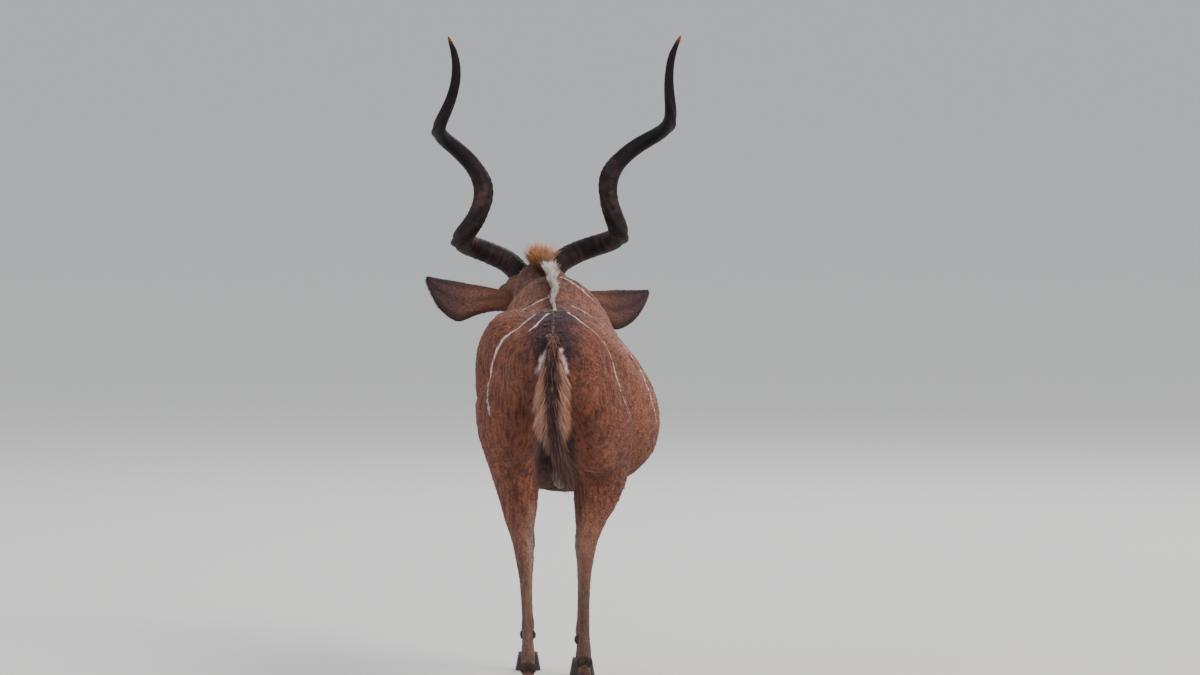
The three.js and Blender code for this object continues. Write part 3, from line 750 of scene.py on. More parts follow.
def hair_material(name, grain, bump, roughness, sheen=0.0):
    """Hair or hide: the stored colour, broken by fine grain, with a fine bump."""
    material, nodes, links, shader = new_material(name)
    place = nodes.new("ShaderNodeTexCoord")
    colour = nodes.new("ShaderNodeAttribute")
    colour.attribute_name = "coat"
    fine = nodes.new("ShaderNodeTexNoise")
    set_socket(fine, "Scale", grain)
    set_socket(fine, "Detail", 4.0)
    links.new(place.outputs["Object"], fine.inputs["Vector"])
    spread = nodes.new("ShaderNodeMapRange")
    set_socket(spread, "To Min", 0.72)
    set_socket(spread, "To Max", 1.28)
    links.new(fine.outputs["Fac"], spread.inputs["Value"])
    shade = nodes.new("ShaderNodeVectorMath")
    shade.operation = "SCALE"
    links.new(colour.outputs["Color"], shade.inputs[0])
    links.new(spread.outputs["Result"], shade.inputs["Scale"])
    links.new(shade.outputs["Vector"], shader.inputs["Base Color"])
    relief = nodes.new("ShaderNodeBump")
    set_socket(relief, "Strength", bump)
    set_socket(relief, "Distance", 0.002)
    links.new(fine.outputs["Fac"], relief.inputs["Height"])
    links.new(relief.outputs["Normal"], shader.inputs["Normal"])
    set_socket(shader, "Roughness", roughness)
    set_socket(shader, "Specular IOR Level", 0.3)
    set_socket(shader, "Sheen Weight", sheen)
    return material


def dress(piece, material, slot, *nodes):
    """Gives a piece its finish and its body, and hides the nodes it stands for."""
    piece.data.materials.clear()
    piece.data.materials.append(material)
    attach(piece, "root")
    if nodes:
        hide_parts(*nodes)


class KuduSizes(bpy.types.PropertyGroup):
    """What a user would change about the coat."""

    coat_length: bpy.props.FloatProperty(
        name="Coat length", description="Length of the tufts on the trunk", default=0.017, unit="LENGTH"
    )
    face_length: bpy.props.FloatProperty(
        name="Face hair", description="Length of the tufts on the face", default=0.006, unit="LENGTH"
    )
    coat_depth: bpy.props.FloatProperty(
        name="Coat depth", description="How far the skin lies inside", default=0.005, unit="LENGTH"
    )
    tufts: bpy.props.IntProperty(
        name="Tufts", description="Number of tufts that a piece of the coat takes a share of", default=40500
    )


class KuduColours(bpy.types.PropertyGroup):
    """The coat's main colours."""

    flank: bpy.props.FloatVectorProperty(
        name="Flank",
        description="Reddish brown of the sides",
        subtype="COLOR",
        default=PAINTS["flank"].tolist(),
    )
    saddle: bpy.props.FloatVectorProperty(
        name="Saddle",
        description="Dark brown of the croup",
        subtype="COLOR",
        default=PAINTS["saddle"].tolist(),
    )
    stripe: bpy.props.FloatVectorProperty(
        name="Stripe",
        description="White of stripes and lips",
        subtype="COLOR",
        default=PAINTS["stripe"].tolist(),
    )


def body_forms(depth):
    """The forms of trunk, neck, head and legs, sunk by the coat's depth."""
    forms = {
        "trunk": Limb(TRUNK_ROWS, spine=True, grow=-depth - 1),
        "neck": Limb(NECK, grow=-depth - 1),
        "head": Limb(FACE_ROWS, grow=-1.5),
    }
    for name, rows in LEGS.items():
        forms[name] = Limb(rows, grow=-0.7 * depth)
    return forms


def beyond(cut, points):
    """How far each point lies beyond a cut across the body."""
    return (points[:, 1] - cut["y"]) * cut["ahead"] + (points[:, 2] - cut["z"]) * cut["up"]


def eye_gap(face):
    """Distance to the middle of the eye on the same side, in the head's frame."""
    folded = np.stack([np.abs(face[:, 0]), face[:, 1], face[:, 2]], 1)
    return np.linalg.norm(folded - np.array(EYE_PLACE), axis=1)


def nose_pad(face):
    """1 on the bare pad at the end of the nose."""
    return ease(385, 400, face[:, 1]) * ease(-92, -80, face[:, 2])


def region_of(points):
    """Which region each point belongs to, as an index in REGIONS, with its share along and angle."""
    forms = SHARED["forms"]
    level = (points - HORN_BASE) @ LEVEL_WAYS
    index = np.zeros(len(points), int)
    along = np.zeros(len(points))
    angle = np.zeros(len(points))
    on_head = level[:, 1] > BACK_OF_HEAD
    on_neck = ~on_head & (beyond(NECK_CUT, points) > 0)
    index[on_neck] = NECK_AT
    index[on_head] = HEAD_AT
    for name in LEGS:
        below = beyond(LEG_CUT[name[:4]], points) < 0
        half = points[:, 1] < LEGS_PART if "hind" in name else points[:, 1] > LEGS_PART
        inner = np.where(points[:, 2] < FREE_LEG, 0, INNER_THIGH)
        chosen = half & below & (side_of(name) * points[:, 0] > inner) & ~on_head & ~on_neck
        index[chosen] = REGIONS.index(name)
    for number, name in enumerate(REGIONS):
        chosen = index == number
        if not chosen.any():
            continue
        place = to_head(points[chosen]) if name == "head" else points[chosen]
        along[chosen], angle[chosen] = forms[name].where(place)
    return index, along, angle


def unwrap_of(index, along, angle):
    """Where a root lies on the unwrap of the skin."""
    uv = np.zeros((len(index), 2))
    for number, name in enumerate(REGIONS):
        left, bottom, width, height = UNWRAP[name]
        chosen = index == number
        uv[chosen, 0] = left + width * (angle[chosen] / (2 * math.pi) + 0.5)
        uv[chosen, 1] = bottom + height * along[chosen]
    return uv


def soft_noise(points, size, seed):
    """Smooth random values between -1 and 1 that change over this size."""
    place = np.asarray(points) / size + 4096
    cell = np.floor(place).astype(np.int64)
    rest = place - cell
    rest = rest * rest * (3 - 2 * rest)
    total = np.zeros(len(place))
    for corner in np.ndindex(2, 2, 2):
        near = cell + corner
        key = near @ np.array([73856093, 19349663, 83492791]) + seed * 7919
        key = (key ^ (key >> 13)) * 1274126177 & 0x7FFFFFFF
        key = (key ^ (key >> 15)) * 668265263 & 0x7FFFFFFF
        weight = np.prod(np.where(corner, rest, 1 - rest), axis=1)
        total += weight * (2 * (key / 0x7FFFFFFF) - 1)
    return total


def streaks(points, way, size, seed, stretch):
    """Random values drawn out along a way, as the coat's hair is."""
    way = np.array(way, float) / np.linalg.norm(way)
    return soft_noise(points - (1 - 1 / stretch) * (points @ way)[:, None] * way, size, seed)


def mix(base, over, share):
    """Colours with others laid over them by a share."""
    return base + (np.asarray(over) - base) * np.clip(share, 0, 1)[:, None]


def near_line(points, start, end):
    """Distance from points to a straight stretch."""
    start, end = np.array(start, float), np.array(end, float)
    way = end - start
    share = np.clip(((points - start) @ way) / (way @ way), 0, 1)
    return np.linalg.norm(points - start - share[:, None] * way, axis=1)


def stripe_lines():
    """Each stripe as a line of flat points: place along the back and way round the trunk."""
    lines = []
    for name, route in STRIPES.items():
        flat = [[y, side_of(name) * HALF_TURN * share] for y, share in route]
        lines.append(spline(flat)(np.linspace(0, 1, 13)))
    for top, start, end in SHOULDER_STRIPES:
        share = np.linspace(start, end, 6)
        y = top - 90 * (share - start) + 10 * np.sin(9 * share)
        lines += [np.stack([y, side * HALF_TURN * share], 1) for side in SIDES]
    return lines


def stripe_gap(y, share):
    """Distance to the nearest white stripe over the trunk laid flat, more where a stripe thins out."""
    flat = np.stack([y, HALF_TURN * share], 1)
    gap = np.full(len(flat), 1e3)
    for line in stripe_lines():
        for number, (start, end) in enumerate(zip(line[:-1], line[1:])):
            thinner = 3.2 * ease(0.55, 1, (number + 1) / (len(line) - 1))
            gap = np.minimum(gap, near_line(flat, start, end) + thinner)
    return gap


def body_colours(points, normals, trunk, leg, share, flank, dark, white):
    """Red-brown sides and haunches, dark saddle, white stripes, marks beside the tail, and the legs, with
    painted shade under the belly and between the thighs.
    """
    x, y, z = points.T
    round_trunk = np.abs(share)
    paints = np.tile(flank, (len(points), 1))
    paints = mix(paints, PAINTS["thigh"], 0.85 * (1 - ease(240, 620, y)))
    shoulder = 0.62 * ease(820, 1340, y) * np.where(leg, 1, ease(0.06, 0.26, round_trunk))
    paints = mix(paints, PAINTS["shoulder"], shoulder)
    low = trunk * ease(0.5, 0.72, round_trunk) * ease(250, 520, y)
    paints = mix(paints, PAINTS["low_flank"], 0.55 * low)
    # Painted shade: the underside of the trunk is darkened from the flank forwards
    belly = trunk * ease(0.8, 0.95, round_trunk) * ease(230, 420, y)
    paints = mix(paints, PAINTS["belly"], 0.85 * belly)
    spine = trunk * (1 - ease(0.02, 0.16, round_trunk)) * (1 - 0.4 * ease(700, 1000, y))
    paints = mix(paints, PAINTS["back_line"], 0.75 * spine)
    edge = 18 * soft_noise(points, 60, 4)
    saddle = (1 - ease(30, 138, np.abs(x - 10) + edge)) * ease(1090, 1190, z + edge)
    saddle = saddle * (1 - ease(380, 620, y))
    paints = mix(paints, dark, 0.92 * saddle)
    paints = mix(paints, white, trunk * stripe_share(points, share))
    paints = tail_marks(paints, points, round_trunk, white)
    # Legs: fawn and grey-brown shanks, darker behind, a white mark and a dark band over the hooves
    paints = mix(paints, PAINTS["shank"], leg * (1 - ease(460, 740, z)) * 0.7)
    paints = mix(paints, PAINTS["lower_shank"], leg * (1 - ease(280, 520, z)) * 0.6)
    back_edge = ease(-0.2, 0.8, -normals[:, 1])
    paints = mix(paints, PAINTS["shank_back"], leg * back_edge * (1 - ease(420, 640, z)) * 0.55)
    inwards = -normals[:, 0] * np.sign(x)
    pale = leg * ease(0.35, 0.85, inwards) * (1 - ease(560, 720, z)) * ease(300, 460, z)
    paints = mix(paints, PAINTS["shank_inside"], 0.55 * pale)
    # Painted shade on the inner faces of the thighs, where they part under the tail
    groin_shade = ease(0.15, 0.85, inwards) * (1 - ease(50, 84, np.abs(x - 8)))
    groin_shade = groin_shade * ease(680, 800, z) * (1 - ease(880, 960, z))
    paints = mix(paints, PAINTS["groin_shade"], 0.9 * groin_shade * (1 - ease(400, 560, y)))
    pastern = leg * (1 - ease(8, 22, np.abs(z - 118))) * ease(0.2, 0.7, normals[:, 1])
    paints = mix(paints, white, pastern * 0.8)
    paints = mix(paints, dark, leg * (1 - ease(84, 104, z)) * 0.6)
    away = np.linalg.norm((points - SCROTUM["middle"]) / SCROTUM["radii"], axis=1)
    paints = mix(paints, PAINTS["scrotum"], 0.9 * (1 - ease(1.1, 1.3, away)) * (1 - ease(730, 790, z)))
    for name in LEGS:
        centre = np.array([LEGS[name][-4][0], LEGS[name][-4][1] - DEWCLAW["back"], DEWCLAW["height"]])
        away = np.linalg.norm((points - centre) / [36, 15, 22], axis=1)
        paints = mix(paints, PAINTS["dewclaw"], 0.9 * (1 - ease(0.9, 1.2, away)))
    return paints


def stripe_share(points, share):
    """How white each point of the trunk is: thin stripes, a little broken and uneven."""
    wander = soft_noise(points, 34, 3)
    gap = stripe_gap(points[:, 1] + 3 * wander, share)
    broken = 0.94 - 0.3 * ease(0, 0.9, soft_noise(points, 42, 6))
    fine = 1.6 * soft_noise(points, 9, 7)
    return broken * (1 - ease(2.2, 7, gap + wander + fine))


def tail_marks(paints, points, round_trunk, white):
    """The pale line on the spine, the white hair beside the tail's root and the bare spot next to it."""
    x, y, _ = points.T
    wander = soft_noise(points, 15, 8)
    line = (1 - ease(1.5, 5, np.abs(x) + 3 * wander)) * (y > 20) * (round_trunk < 0.3)
    line = line * ease(-0.3, 0.5, soft_noise(points, 11, 16)) * (0.4 + 0.6 * ease(500, 700, y))
    paints = mix(paints, PAINTS["spine_line"], 0.75 * line)
    for route in TAIL_PATCHES:
        away = np.minimum(near_line(points, route[0], route[1]), near_line(points, route[1], route[2]))
        ragged = away + 6 * wander + 4 * soft_noise(points, 6, 17)
        paints = mix(paints, white, 0.95 * (1 - ease(3, 14, ragged)))
    bare = near_line(points, *BARE_SPOT)
    return mix(paints, PAINTS["bare_spot"], 0.9 * (1 - ease(6, 13, bare + 3 * wander)))


def neck_colours(points, angle, dark):
    """Grey-brown neck, darker along the nape and the throat."""
    round_neck = np.abs(angle) / math.pi
    up_neck = ease(0, 1, (beyond(NECK_CUT, points) + 18 * soft_noise(points, 50, 15)) / 200)
    paints = np.tile(PAINTS["neck_base"], (len(points), 1))
    paints = mix(paints, PAINTS["neck"], up_neck)
    paints = mix(paints, PAINTS["nape"], (1 - ease(0.04, 0.3, round_neck)) * up_neck)
    paints = mix(paints, dark, 0.5 * ease(0.75, 1, round_neck))
    cheek = ease(1690, 1800, points[:, 1]) * ease(0.3, 0.5, round_neck)
    return mix(paints, PAINTS["cheek"], 0.5 * cheek)


def head_colours(points, normals, white):
    """The face: chevron between the eyes, cheek spots, pale lips, dark muzzle and lids."""
    face = to_head(points)
    side = np.abs(face[:, 0])
    up = (normals @ HEAD_WAYS)[:, 2]
    hide = np.tile(PAINTS["face"], (len(face), 1))
    hide = mix(hide, PAINTS["brow"], ease(0.2, 0.8, up) * 0.8)
    behind = ease(-20, -120, face[:, 2]) * (1 - ease(120, 200, face[:, 1]))
    hide = mix(hide, PAINTS["poll"], behind * 0.6)
    flat = np.stack([side, face[:, 1], np.zeros(len(face))], 1)
    chevron = near_line(flat, *CHEVRON)
    hide = mix(hide, white, (1 - ease(3, 7, chevron)) * (face[:, 2] > -62) * 0.9)
    for y, z in CHEEK_SPOTS:
        away = np.hypot(face[:, 1] - y, face[:, 2] - z)
        hide = mix(hide, white, (1 - ease(6, 11, away)) * 0.85)
    lips = ease(300, 350, face[:, 1]) * (1 - ease(-92, -80, face[:, 2]))
    hide = mix(hide, white, lips * 0.9)
    mask = ease(330, 372, face[:, 1]) * ease(-88, -78, face[:, 2])
    hide = mix(hide, PAINTS["muzzle"], mask * 0.95)
    mouth = (1 - ease(1.5, 4, np.abs(face[:, 2] - MOUTH["height"]))) * ease(285, 300, face[:, 1])
    hide = mix(hide, PAINTS["mouth"], mouth * 0.9)
    eye = eye_gap(face)
    hide = mix(hide, PAINTS["lids"], (1 - ease(21, 27, eye)) * 0.9)
    ring = (1 - ease(27, 36, eye)) * ease(24, 28, eye)
    return mix(hide, PAINTS["eye_ring"], ring * 0.35)


def coat_colours(points, normals, index, angle):
    """The coat's markings at each point, streaked along the lie of the hair."""
    colours = bpy.context.scene.kudu_colours
    flank, dark, white = (np.array(c[:]) for c in (colours.flank, colours.saddle, colours.stripe))
    paints = np.zeros((len(points), 3))
    on_trunk, on_neck, on_head = (index == place for place in (TRUNK_AT, NECK_AT, HEAD_AT))
    on_leg = index >= LEGS_AT
    body = on_trunk | on_leg
    if body.any():
        share = angle[body] / math.pi
        trunk, leg = on_trunk[body], on_leg[body]
        paints[body] = body_colours(points[body], normals[body], trunk, leg, share, flank, dark, white)
    if on_neck.any():
        paints[on_neck] = neck_colours(points[on_neck], angle[on_neck], dark)
    if on_head.any():
        paints[on_head] = head_colours(points[on_head], normals[on_head], white)
    # Locks of darker and redder hair: downwards on haunches, legs and neck, backwards on the flanks
    downwards = np.where(on_trunk, haunch_share(points), 1.0)
    back, down = (
        [streaks(points, lie, size, seed + size, stretch) for size, stretch in ((5, 11.0), (17, 7.0))]
        for lie, seed in ((FLANK_LIE, 11), (HAUNCH_LIE, 12))
    )
    fine, broad = (a * (1 - downwards) + b * downwards for a, b in zip(back, down))
    shank = np.maximum(ease(700, 540, points[:, 2]), ease(700, 800, points[:, 1])) * on_leg
    strength = np.where(on_head, 0.25, (0.55 + 0.45 * downwards) * (1 - 0.65 * shank))
    lock = (1.3 * fine + 0.5 * broad) * strength
    paints = mix(paints, paints * [0.55, 0.54, 0.64], np.maximum(0, 1.35 * lock))
    paints = mix(paints, paints * [1.36, 1.32, 1.24], np.maximum(0, -1.2 * lock))
    tone = 1 + 0.1 * soft_noise(points, 170, 5) + 0.06 * soft_noise(points, 60, 9)
    return np.clip(paints * tone[:, None], 0, 1)


def haunch_share(points):
    """1 where the hair hangs down the haunch and thigh, 0 where it lies back along the flank."""
    _, y, z = points.T
    return np.maximum(1 - ease(230, 580, y), ease(880, 720, z) * (1 - ease(500, 660, y)))


def coat_lie(points, normals, index):
    """The way the hair lies at each point, along the skin."""
    x, y, z = points.T
    way = np.tile(np.array(FLANK_LIE), (len(points), 1))
    haunch = haunch_share(points)
    outwards = 0.22 * np.sign(x) * ease(0, 60, np.abs(x))
    fan = np.stack([outwards, np.full(len(x), -0.25), np.full(len(x), -1.0)], 1)
    way = mix(way, fan, haunch)
    front = (index == TRUNK_AT) * ease(1150, 1450, y)
    way += front[:, None] * np.array([0, 0.2, -0.7])
    way[index == NECK_AT] = [0.02, -0.72, -0.75]
    way[(index >= LEGS_AT) & ((y > LEGS_PART) | (z < 560))] = [0, -0.16, -1.0]
    away = points - np.array(WHORL["middle"])
    near = np.exp(-(((away * [1, 0.5, 1]) ** 2).sum(1)) / WHORL["reach"] ** 2) * (x > 60) * (y < 420)
    swirl = unit(np.stack([0.55 * away[:, 0] + away[:, 2], 0 * x, 0.55 * away[:, 2] - away[:, 0]], 1))
    way = mix(way, swirl, np.clip(1.6 * near, 0, 1))
    head = index == HEAD_AT
    if head.any():
        local = np.tile([0.25, -1.0, -0.25], (head.sum(), 1))
        local[:, 0] *= np.sign(to_head(points[head])[:, 0])
        way[head] = local @ HEAD_WAYS.T
    way -= normals * (way * normals).sum(1, keepdims=True)
    return unit(way)


def tuft_arrays(roots, normals, ways, lengths, widths, lifts):
    """Closed four-faced tufts: two root corners, a low back and a tip."""
    side = np.cross(ways, normals)
    rise = ways * np.cos(lifts)[:, None] + normals * np.sin(lifts)[:, None]
    sink = normals * (0.35 * widths)[:, None]
    middle = roots + rise * (0.35 * lengths)[:, None] + normals * (0.45 * widths)[:, None]
    corners = [
        roots - sink + side * (widths / 2)[:, None],
        roots - sink - side * (widths / 2)[:, None],
        middle,
        roots + rise * lengths[:, None] - normals * (0.08 * lengths)[:, None],
    ]
    points = np.stack(corners, 1).reshape(-1, 3)
    faces = np.array([[0, 2, 1], [0, 1, 3], [1, 2, 3], [2, 0, 3]])
    triangles = (np.arange(len(roots))[:, None, None] * 4 + faces).reshape(-1, 3)
    return points, triangles


def skin_samples(count, density):
    """Seeded roots over the skin, each a point and a normal, with more where density is higher."""
    points, normals = SHARED["skin_points"], SHARED["skin_normals"]
    triangles, areas = SHARED["skin_triangles"], SHARED["skin_areas"]
    weight = areas * density
    edges = np.cumsum(weight)
    ticks = (np.arange(count) + rng.uniform(0, 1, count)) * edges[-1] / count
    chosen = triangles[np.searchsorted(edges, ticks).clip(0, len(triangles) - 1)]
    a, b = rng.uniform(0, 1, (2, count))
    fold = a + b > 1
    a[fold], b[fold] = 1 - a[fold], 1 - b[fold]
    shares = np.stack([1 - a - b, a, b], 1)[:, :, None]
    return (points[chosen] * shares).sum(1), unit((normals[chosen] * shares).sum(1))


def strand_arrays(roots, rises, falls, lengths, widths, bends):
    """Long closed hairs of three sides that leave along rise and bend towards fall."""
    count, steps = len(roots), HAIR_STEPS
    shares = np.linspace(0, 1, steps + 1)
    flat = unit(np.cross(rises, falls) + 1e-6)
    other = unit(np.cross(rises, flat))
    rings = []
    for share in shares[:-1]:
        travel = lengths * share
        droop = bends * lengths * share**2
        centre = roots + rises * (travel - 0.35 * droop)[:, None] + falls * droop[:, None]
        reach = widths / 2 * (1 - 0.75 * share**1.5) * (0.7 if share == 0 else 1)
        for corner in range(3):
            turn = 2 * math.pi * corner / 3
            rings.append(centre + (flat * math.cos(turn) * 0.55 + other * math.sin(turn)) * reach[:, None])
    droop = bends * lengths
    rings.append(roots + rises * (lengths - 0.35 * droop)[:, None] + falls * droop[:, None])
    points = np.stack(rings, 1).reshape(-1, 3)
    faces = [[0, 1, 2]]
    for step in range(steps - 1):
        for corner in range(3):
            a, b = 3 * step + corner, 3 * step + (corner + 1) % 3
            faces += [[a, a + 3, b], [b, a + 3, b + 3]]
    top = 3 * (steps - 1)
    for corner in range(3):
        faces.append([top + corner, 3 * steps, top + (corner + 1) % 3])
    size = 3 * steps + 1
    triangles = (np.arange(count)[:, None, None] * size + np.array(faces)).reshape(-1, 3)
    ring_share = np.append(np.repeat(shares[:-1], 3), 1.0)
    return points, triangles, size, ring_share


def facing_out(points, triangles, per_piece):
    """Turns the faces of like closed pieces round where they enclose a negative volume."""
    a, b, c = (points[triangles[:, i]] for i in range(3))
    centre = points.reshape(-1, per_piece, 3).mean(1)
    owner = triangles[:, 0] // per_piece
    parts = (a - centre[owner]) * np.cross(b - centre[owner], c - centre[owner])
    volume = np.bincount(owner, parts.sum(1))
    wrong = volume[owner] < 0
    triangles[wrong] = triangles[wrong][:, ::-1]
    return triangles


def strands(name, roots, rises, falls, lengths, widths, bends, root_paint, tip_paint, uv):
    """A piece of long hair."""
    points, triangles, size, shares = strand_arrays(roots, rises, falls, lengths, widths, bends)
    triangles = facing_out(points, triangles, size)
    blend = ease(TIP_PLACE - TIP_BLEND, TIP_PLACE + TIP_BLEND, shares)[None, :, None]
    tone = rng.uniform(0.8, 1.2, len(roots))[:, None, None]
    paints = (root_paint[:, None] * (1 - blend) + tip_paint[:, None] * blend) * tone
    return mesh_piece(name, to_row(points), triangles, np.clip(paints, 0, 1).reshape(-1, 3), uv, size)


class KUDU_OT_skin(bpy.types.Operator):
    """One skin over trunk, neck, head and legs"""

    bl_idname = "kudu.skin"
    bl_label = "Skin"

    def execute(self, context):
        depth = context.scene.kudu_sizes.coat_depth * 1000
        forms = body_forms(depth)
        SHARED["forms"] = body_forms(0)
        pieces = [
            ball("trunk", 72, 70, forms["trunk"].place),
            ball("neck", 56, 30, forms["neck"].place),
            ball("skull", 48, 48, lambda a, b, c: from_head(forms["head"].place(a, b, c))),
            egg("scrotum", SCROTUM["middle"], SCROTUM["radii"], np.eye(3)),
            egg("hip", *SWELLINGS[0], np.eye(3), 48, 32),
        ]
        pieces += self.ear_roots() + self.pedicles()
        for name in LEGS:
            pieces.append(ball(name, 32, 60, forms[name].place))
            pieces += self.dewclaws(name)
        skin = join("skin", pieces)
        remesh(skin, SKIN_VOXEL)
        points = to_sizes(points_of(skin))
        soft = ease(430, 700, points[:, 2])
        face = (points - HORN_BASE) @ LEVEL_WAYS
        soft = soft * (1 - 0.8 * ease(-140, -60, face[:, 1]))
        smooth(skin, 14, soft)
        self.sculpt(skin)
        self.fine_head(skin)
        shade_smooth(skin)
        points = to_sizes(points_of(skin))
        normals = normals_of(skin)
        index, _, angle = region_of(points)
        colour_points(skin, coat_colours(points, normals, index, angle))
        self.nose(skin, points, index)
        hide = self.skin_material()
        legs = [f"leg_{name}_{part}" for name in LEGS for part in ("upper", "lower")]
        dress(skin, hide, "coat", "torso", "neck", "head", *legs)
        self.share(skin, points, normals)
        return {"FINISHED"}

    def ear_roots(self):
        """The muscle at the ears' roots; the left one shows above the neck, because the head is turned."""
        made = [egg("ear_root", [side * 60, 4, -102], [26, 36, 36]) for side in SIDES]
        return made + [egg("ear_muscle", centre, reach, np.eye(3)) for centre, reach in SWELLINGS[1:]]

    def pedicles(self):
        """The raised seats of the horns."""
        return [egg("pedicle", [side * 40, -4, -16], [34, 40, 26]) for side in SIDES]

    def dewclaws(self, name):
        """The two knobs behind a foot."""
        x, y = LEGS[name][-4][:2]
        radius = DEWCLAW["radius"]
        made = []
        for side in SIDES:
            centre = [x + side * DEWCLAW["aside"], y - 0.8 * DEWCLAW["back"], DEWCLAW["height"]]
            made.append(egg("dewclaw", centre, [radius, 1.2 * radius, 1.6 * radius], np.eye(3), 16, 10))
        return made

    def sculpt(self, skin):
        """Swells and hollows of bone and muscle: place, reach along x, y and z, and height."""
        moves = [
            ([150, 175, 1215], [60, 70, 50], 10),
            ([200, 445, 1150], [60, 60, 70], 9),
            ([215, 520, 960], [80, 90, 120], -12),
            ([225, 300, 900], [70, 110, 130], 7),
            ([110, 60, 900], [70, 60, 130], 7),
            ([160, 1250, 1090], [60, 80, 150], 9),
            ([185, 1130, 1060], [70, 60, 140], -7),
            ([120, 1425, 1010], [60, 60, 70], 9),
            ([135, 1225, 800], [50, 60, 50], 8),
            ([90, 1060, 1330], [60, 100, 50], -9),
            ([60, 600, 1270], [50, 260, 40], -5),
        ]
        moves = [([side * x, y, z], reach, height) for (x, y, z), reach, height in moves for side in SIDES]
        # Only on the left: the hollows under and ahead of the raised hip are filled
        moves += [([-232, 420, 1012], [80, 200, 70], 24), ([-165, 620, 1268], [70, 200, 48], 18)]
        points, normals = to_sizes(points_of(skin)), normals_of(skin)
        for centre, reach, height in moves:
            away = (points - np.array(centre)) / np.array(reach)
            bump = height * np.exp(-(away**2).sum(1))
            points += normals * bump[:, None]
        ribs = np.sin(points[:, 1] / 17) * 1.1
        ribs *= ease(560, 700, points[:, 1]) * (1 - ease(1080, 1180, points[:, 1]))
        ribs *= ease(820, 900, points[:, 2]) * (1 - ease(1120, 1220, points[:, 2]))
        points += normals * ribs[:, None]
        put_points(skin, to_row(points))

    def head_target(self):
        """The head in fine detail, for the skin to be drawn on to."""
        form = Limb(FACE_ROWS, grow=-1.5)
        parts = [ball("skull", 96, 96, lambda a, b, c: from_head(form.place(a, b, c)))]
        parts += self.ear_roots() + self.pedicles()
        parts.append(egg("muzzle", [0, 386, -72], [34, 28, 26]))
        parts.append(egg("nose bridge", [0, 320, -62], [26, 60, 20]))
        parts.append(egg("chin", [0, 370, -116], [25, 36, 15]))
        x, y, z = EYE_PLACE
        for side in SIDES:
            parts.append(egg("brow", [side * 50, 88, -42], [23, 35, 26]))
            parts.append(egg("jaw", [side * 43, 36, -128], [25, 65, 45]))
            parts.append(egg("lip", [side * 17, 374, -88], [21, 33, 18]))
            parts.append(egg("cheekbone", [side * 50, 128, -74], [14, 60, 12]))
            parts.append(egg("eye_core", [side * x, y, z], [EYE_RADIUS - 1] * 3))
            parts.append(self.lid_ring(side))
        target = join("head_target", parts)
        remesh(target, HEAD_VOXEL)
        smooth(target, 5)
        return target

    def lid_ring(self, side):
        """The rim of both lids round an eye."""
        deselect()
        bpy.ops.mesh.primitive_torus_add(
            major_radius=19, minor_radius=3.6, major_segments=48, minor_segments=14
        )
        ring = bpy.context.object
        local = points_of(ring) * [0.86, 1.12, 1]
        local = local[:, [2, 1, 0]] * [side, 1, -1]
        local = local @ turned(side * -0.3).T
        x, y, z = EYE_PLACE
        put_points(ring, to_row(from_head(local + [side * (x + 8), y + 2, z])))
        return ring

    def fine_head(self, skin):
        """Divides the head finely and draws it on to the detailed head, then cuts mouth and nostrils."""
        work = bmesh.new()
        work.from_mesh(skin.data)
        for limit in (-96, -84):
            work.verts.ensure_lookup_table()
            places = to_sizes(np.array([v.co for v in work.verts]))
            deep = ((places - HORN_BASE) @ LEVEL_WAYS)[:, 1] > limit
            edges = [e for e in work.edges if deep[e.verts[0].index] and deep[e.verts[1].index]]
            bmesh.ops.subdivide_edges(work, edges=edges, cuts=1, use_grid_fill=True, smooth=0.5)
        bmesh.ops.triangulate(work, faces=[f for f in work.faces if len(f.verts) > 4])
        work.to_mesh(skin.data)
        work.free()
        target = self.head_target()
        points = to_sizes(points_of(skin))
        level = (points - HORN_BASE) @ LEVEL_WAYS
        group = weigh(skin, "head", ease(-80, -40, level[:, 1]))
        apply(skin, "SHRINKWRAP", target=target, wrap_method="NEAREST_SURFACEPOINT", vertex_group=group)
        skin.vertex_groups.clear()
        bpy.data.objects.remove(target)
        points, normals = to_sizes(points_of(skin)), normals_of(skin)
        face = to_head(points)
        gap = np.abs(face[:, 2] - MOUTH["height"] + 5 * ease(330, 290, face[:, 1]))
        groove = (1 - ease(0.5, 4.5, gap)) * ease(MOUTH["corner"] - 6, MOUTH["corner"] + 10, face[:, 1])
        points -= normals * (4.5 * groove)[:, None]
        for side in SIDES:
            slant = np.array([[0.87, -side * 0.5, 0], [side * 0.5, 0.87, 0], [0, 0, 1]])
            away = (face - np.array(NOSTRIL) * [side, 1, 1]) @ slant
            hollow = np.exp(-((away / [7.5, 15, 9]) ** 4).sum(1))
            rim = np.exp(-(((np.linalg.norm(away / [11, 20, 14], axis=1) - 1) / 0.25) ** 2))
            points -= normals * (9 * hollow - 1.6 * rim * (face[:, 1] > 380))[:, None]
        over_eyes = np.exp(-(((face - [0, 70, -30]) / [400, 22, 30]) ** 2).sum(1))
        folds = 0.7 * np.sin(face[:, 1] / 4.2) * over_eyes
        points += normals * folds[:, None]
        put_points(skin, to_row(points))

    def nose(self, skin, points, index):
        """How bare and wet the skin is: the nose pad and the lids' rims."""
        face = to_head(points)
        rims = 1 - ease(20, 25, eye_gap(face))
        number_points(skin, "bare", np.maximum(nose_pad(face), rims) * (index == HEAD_AT))

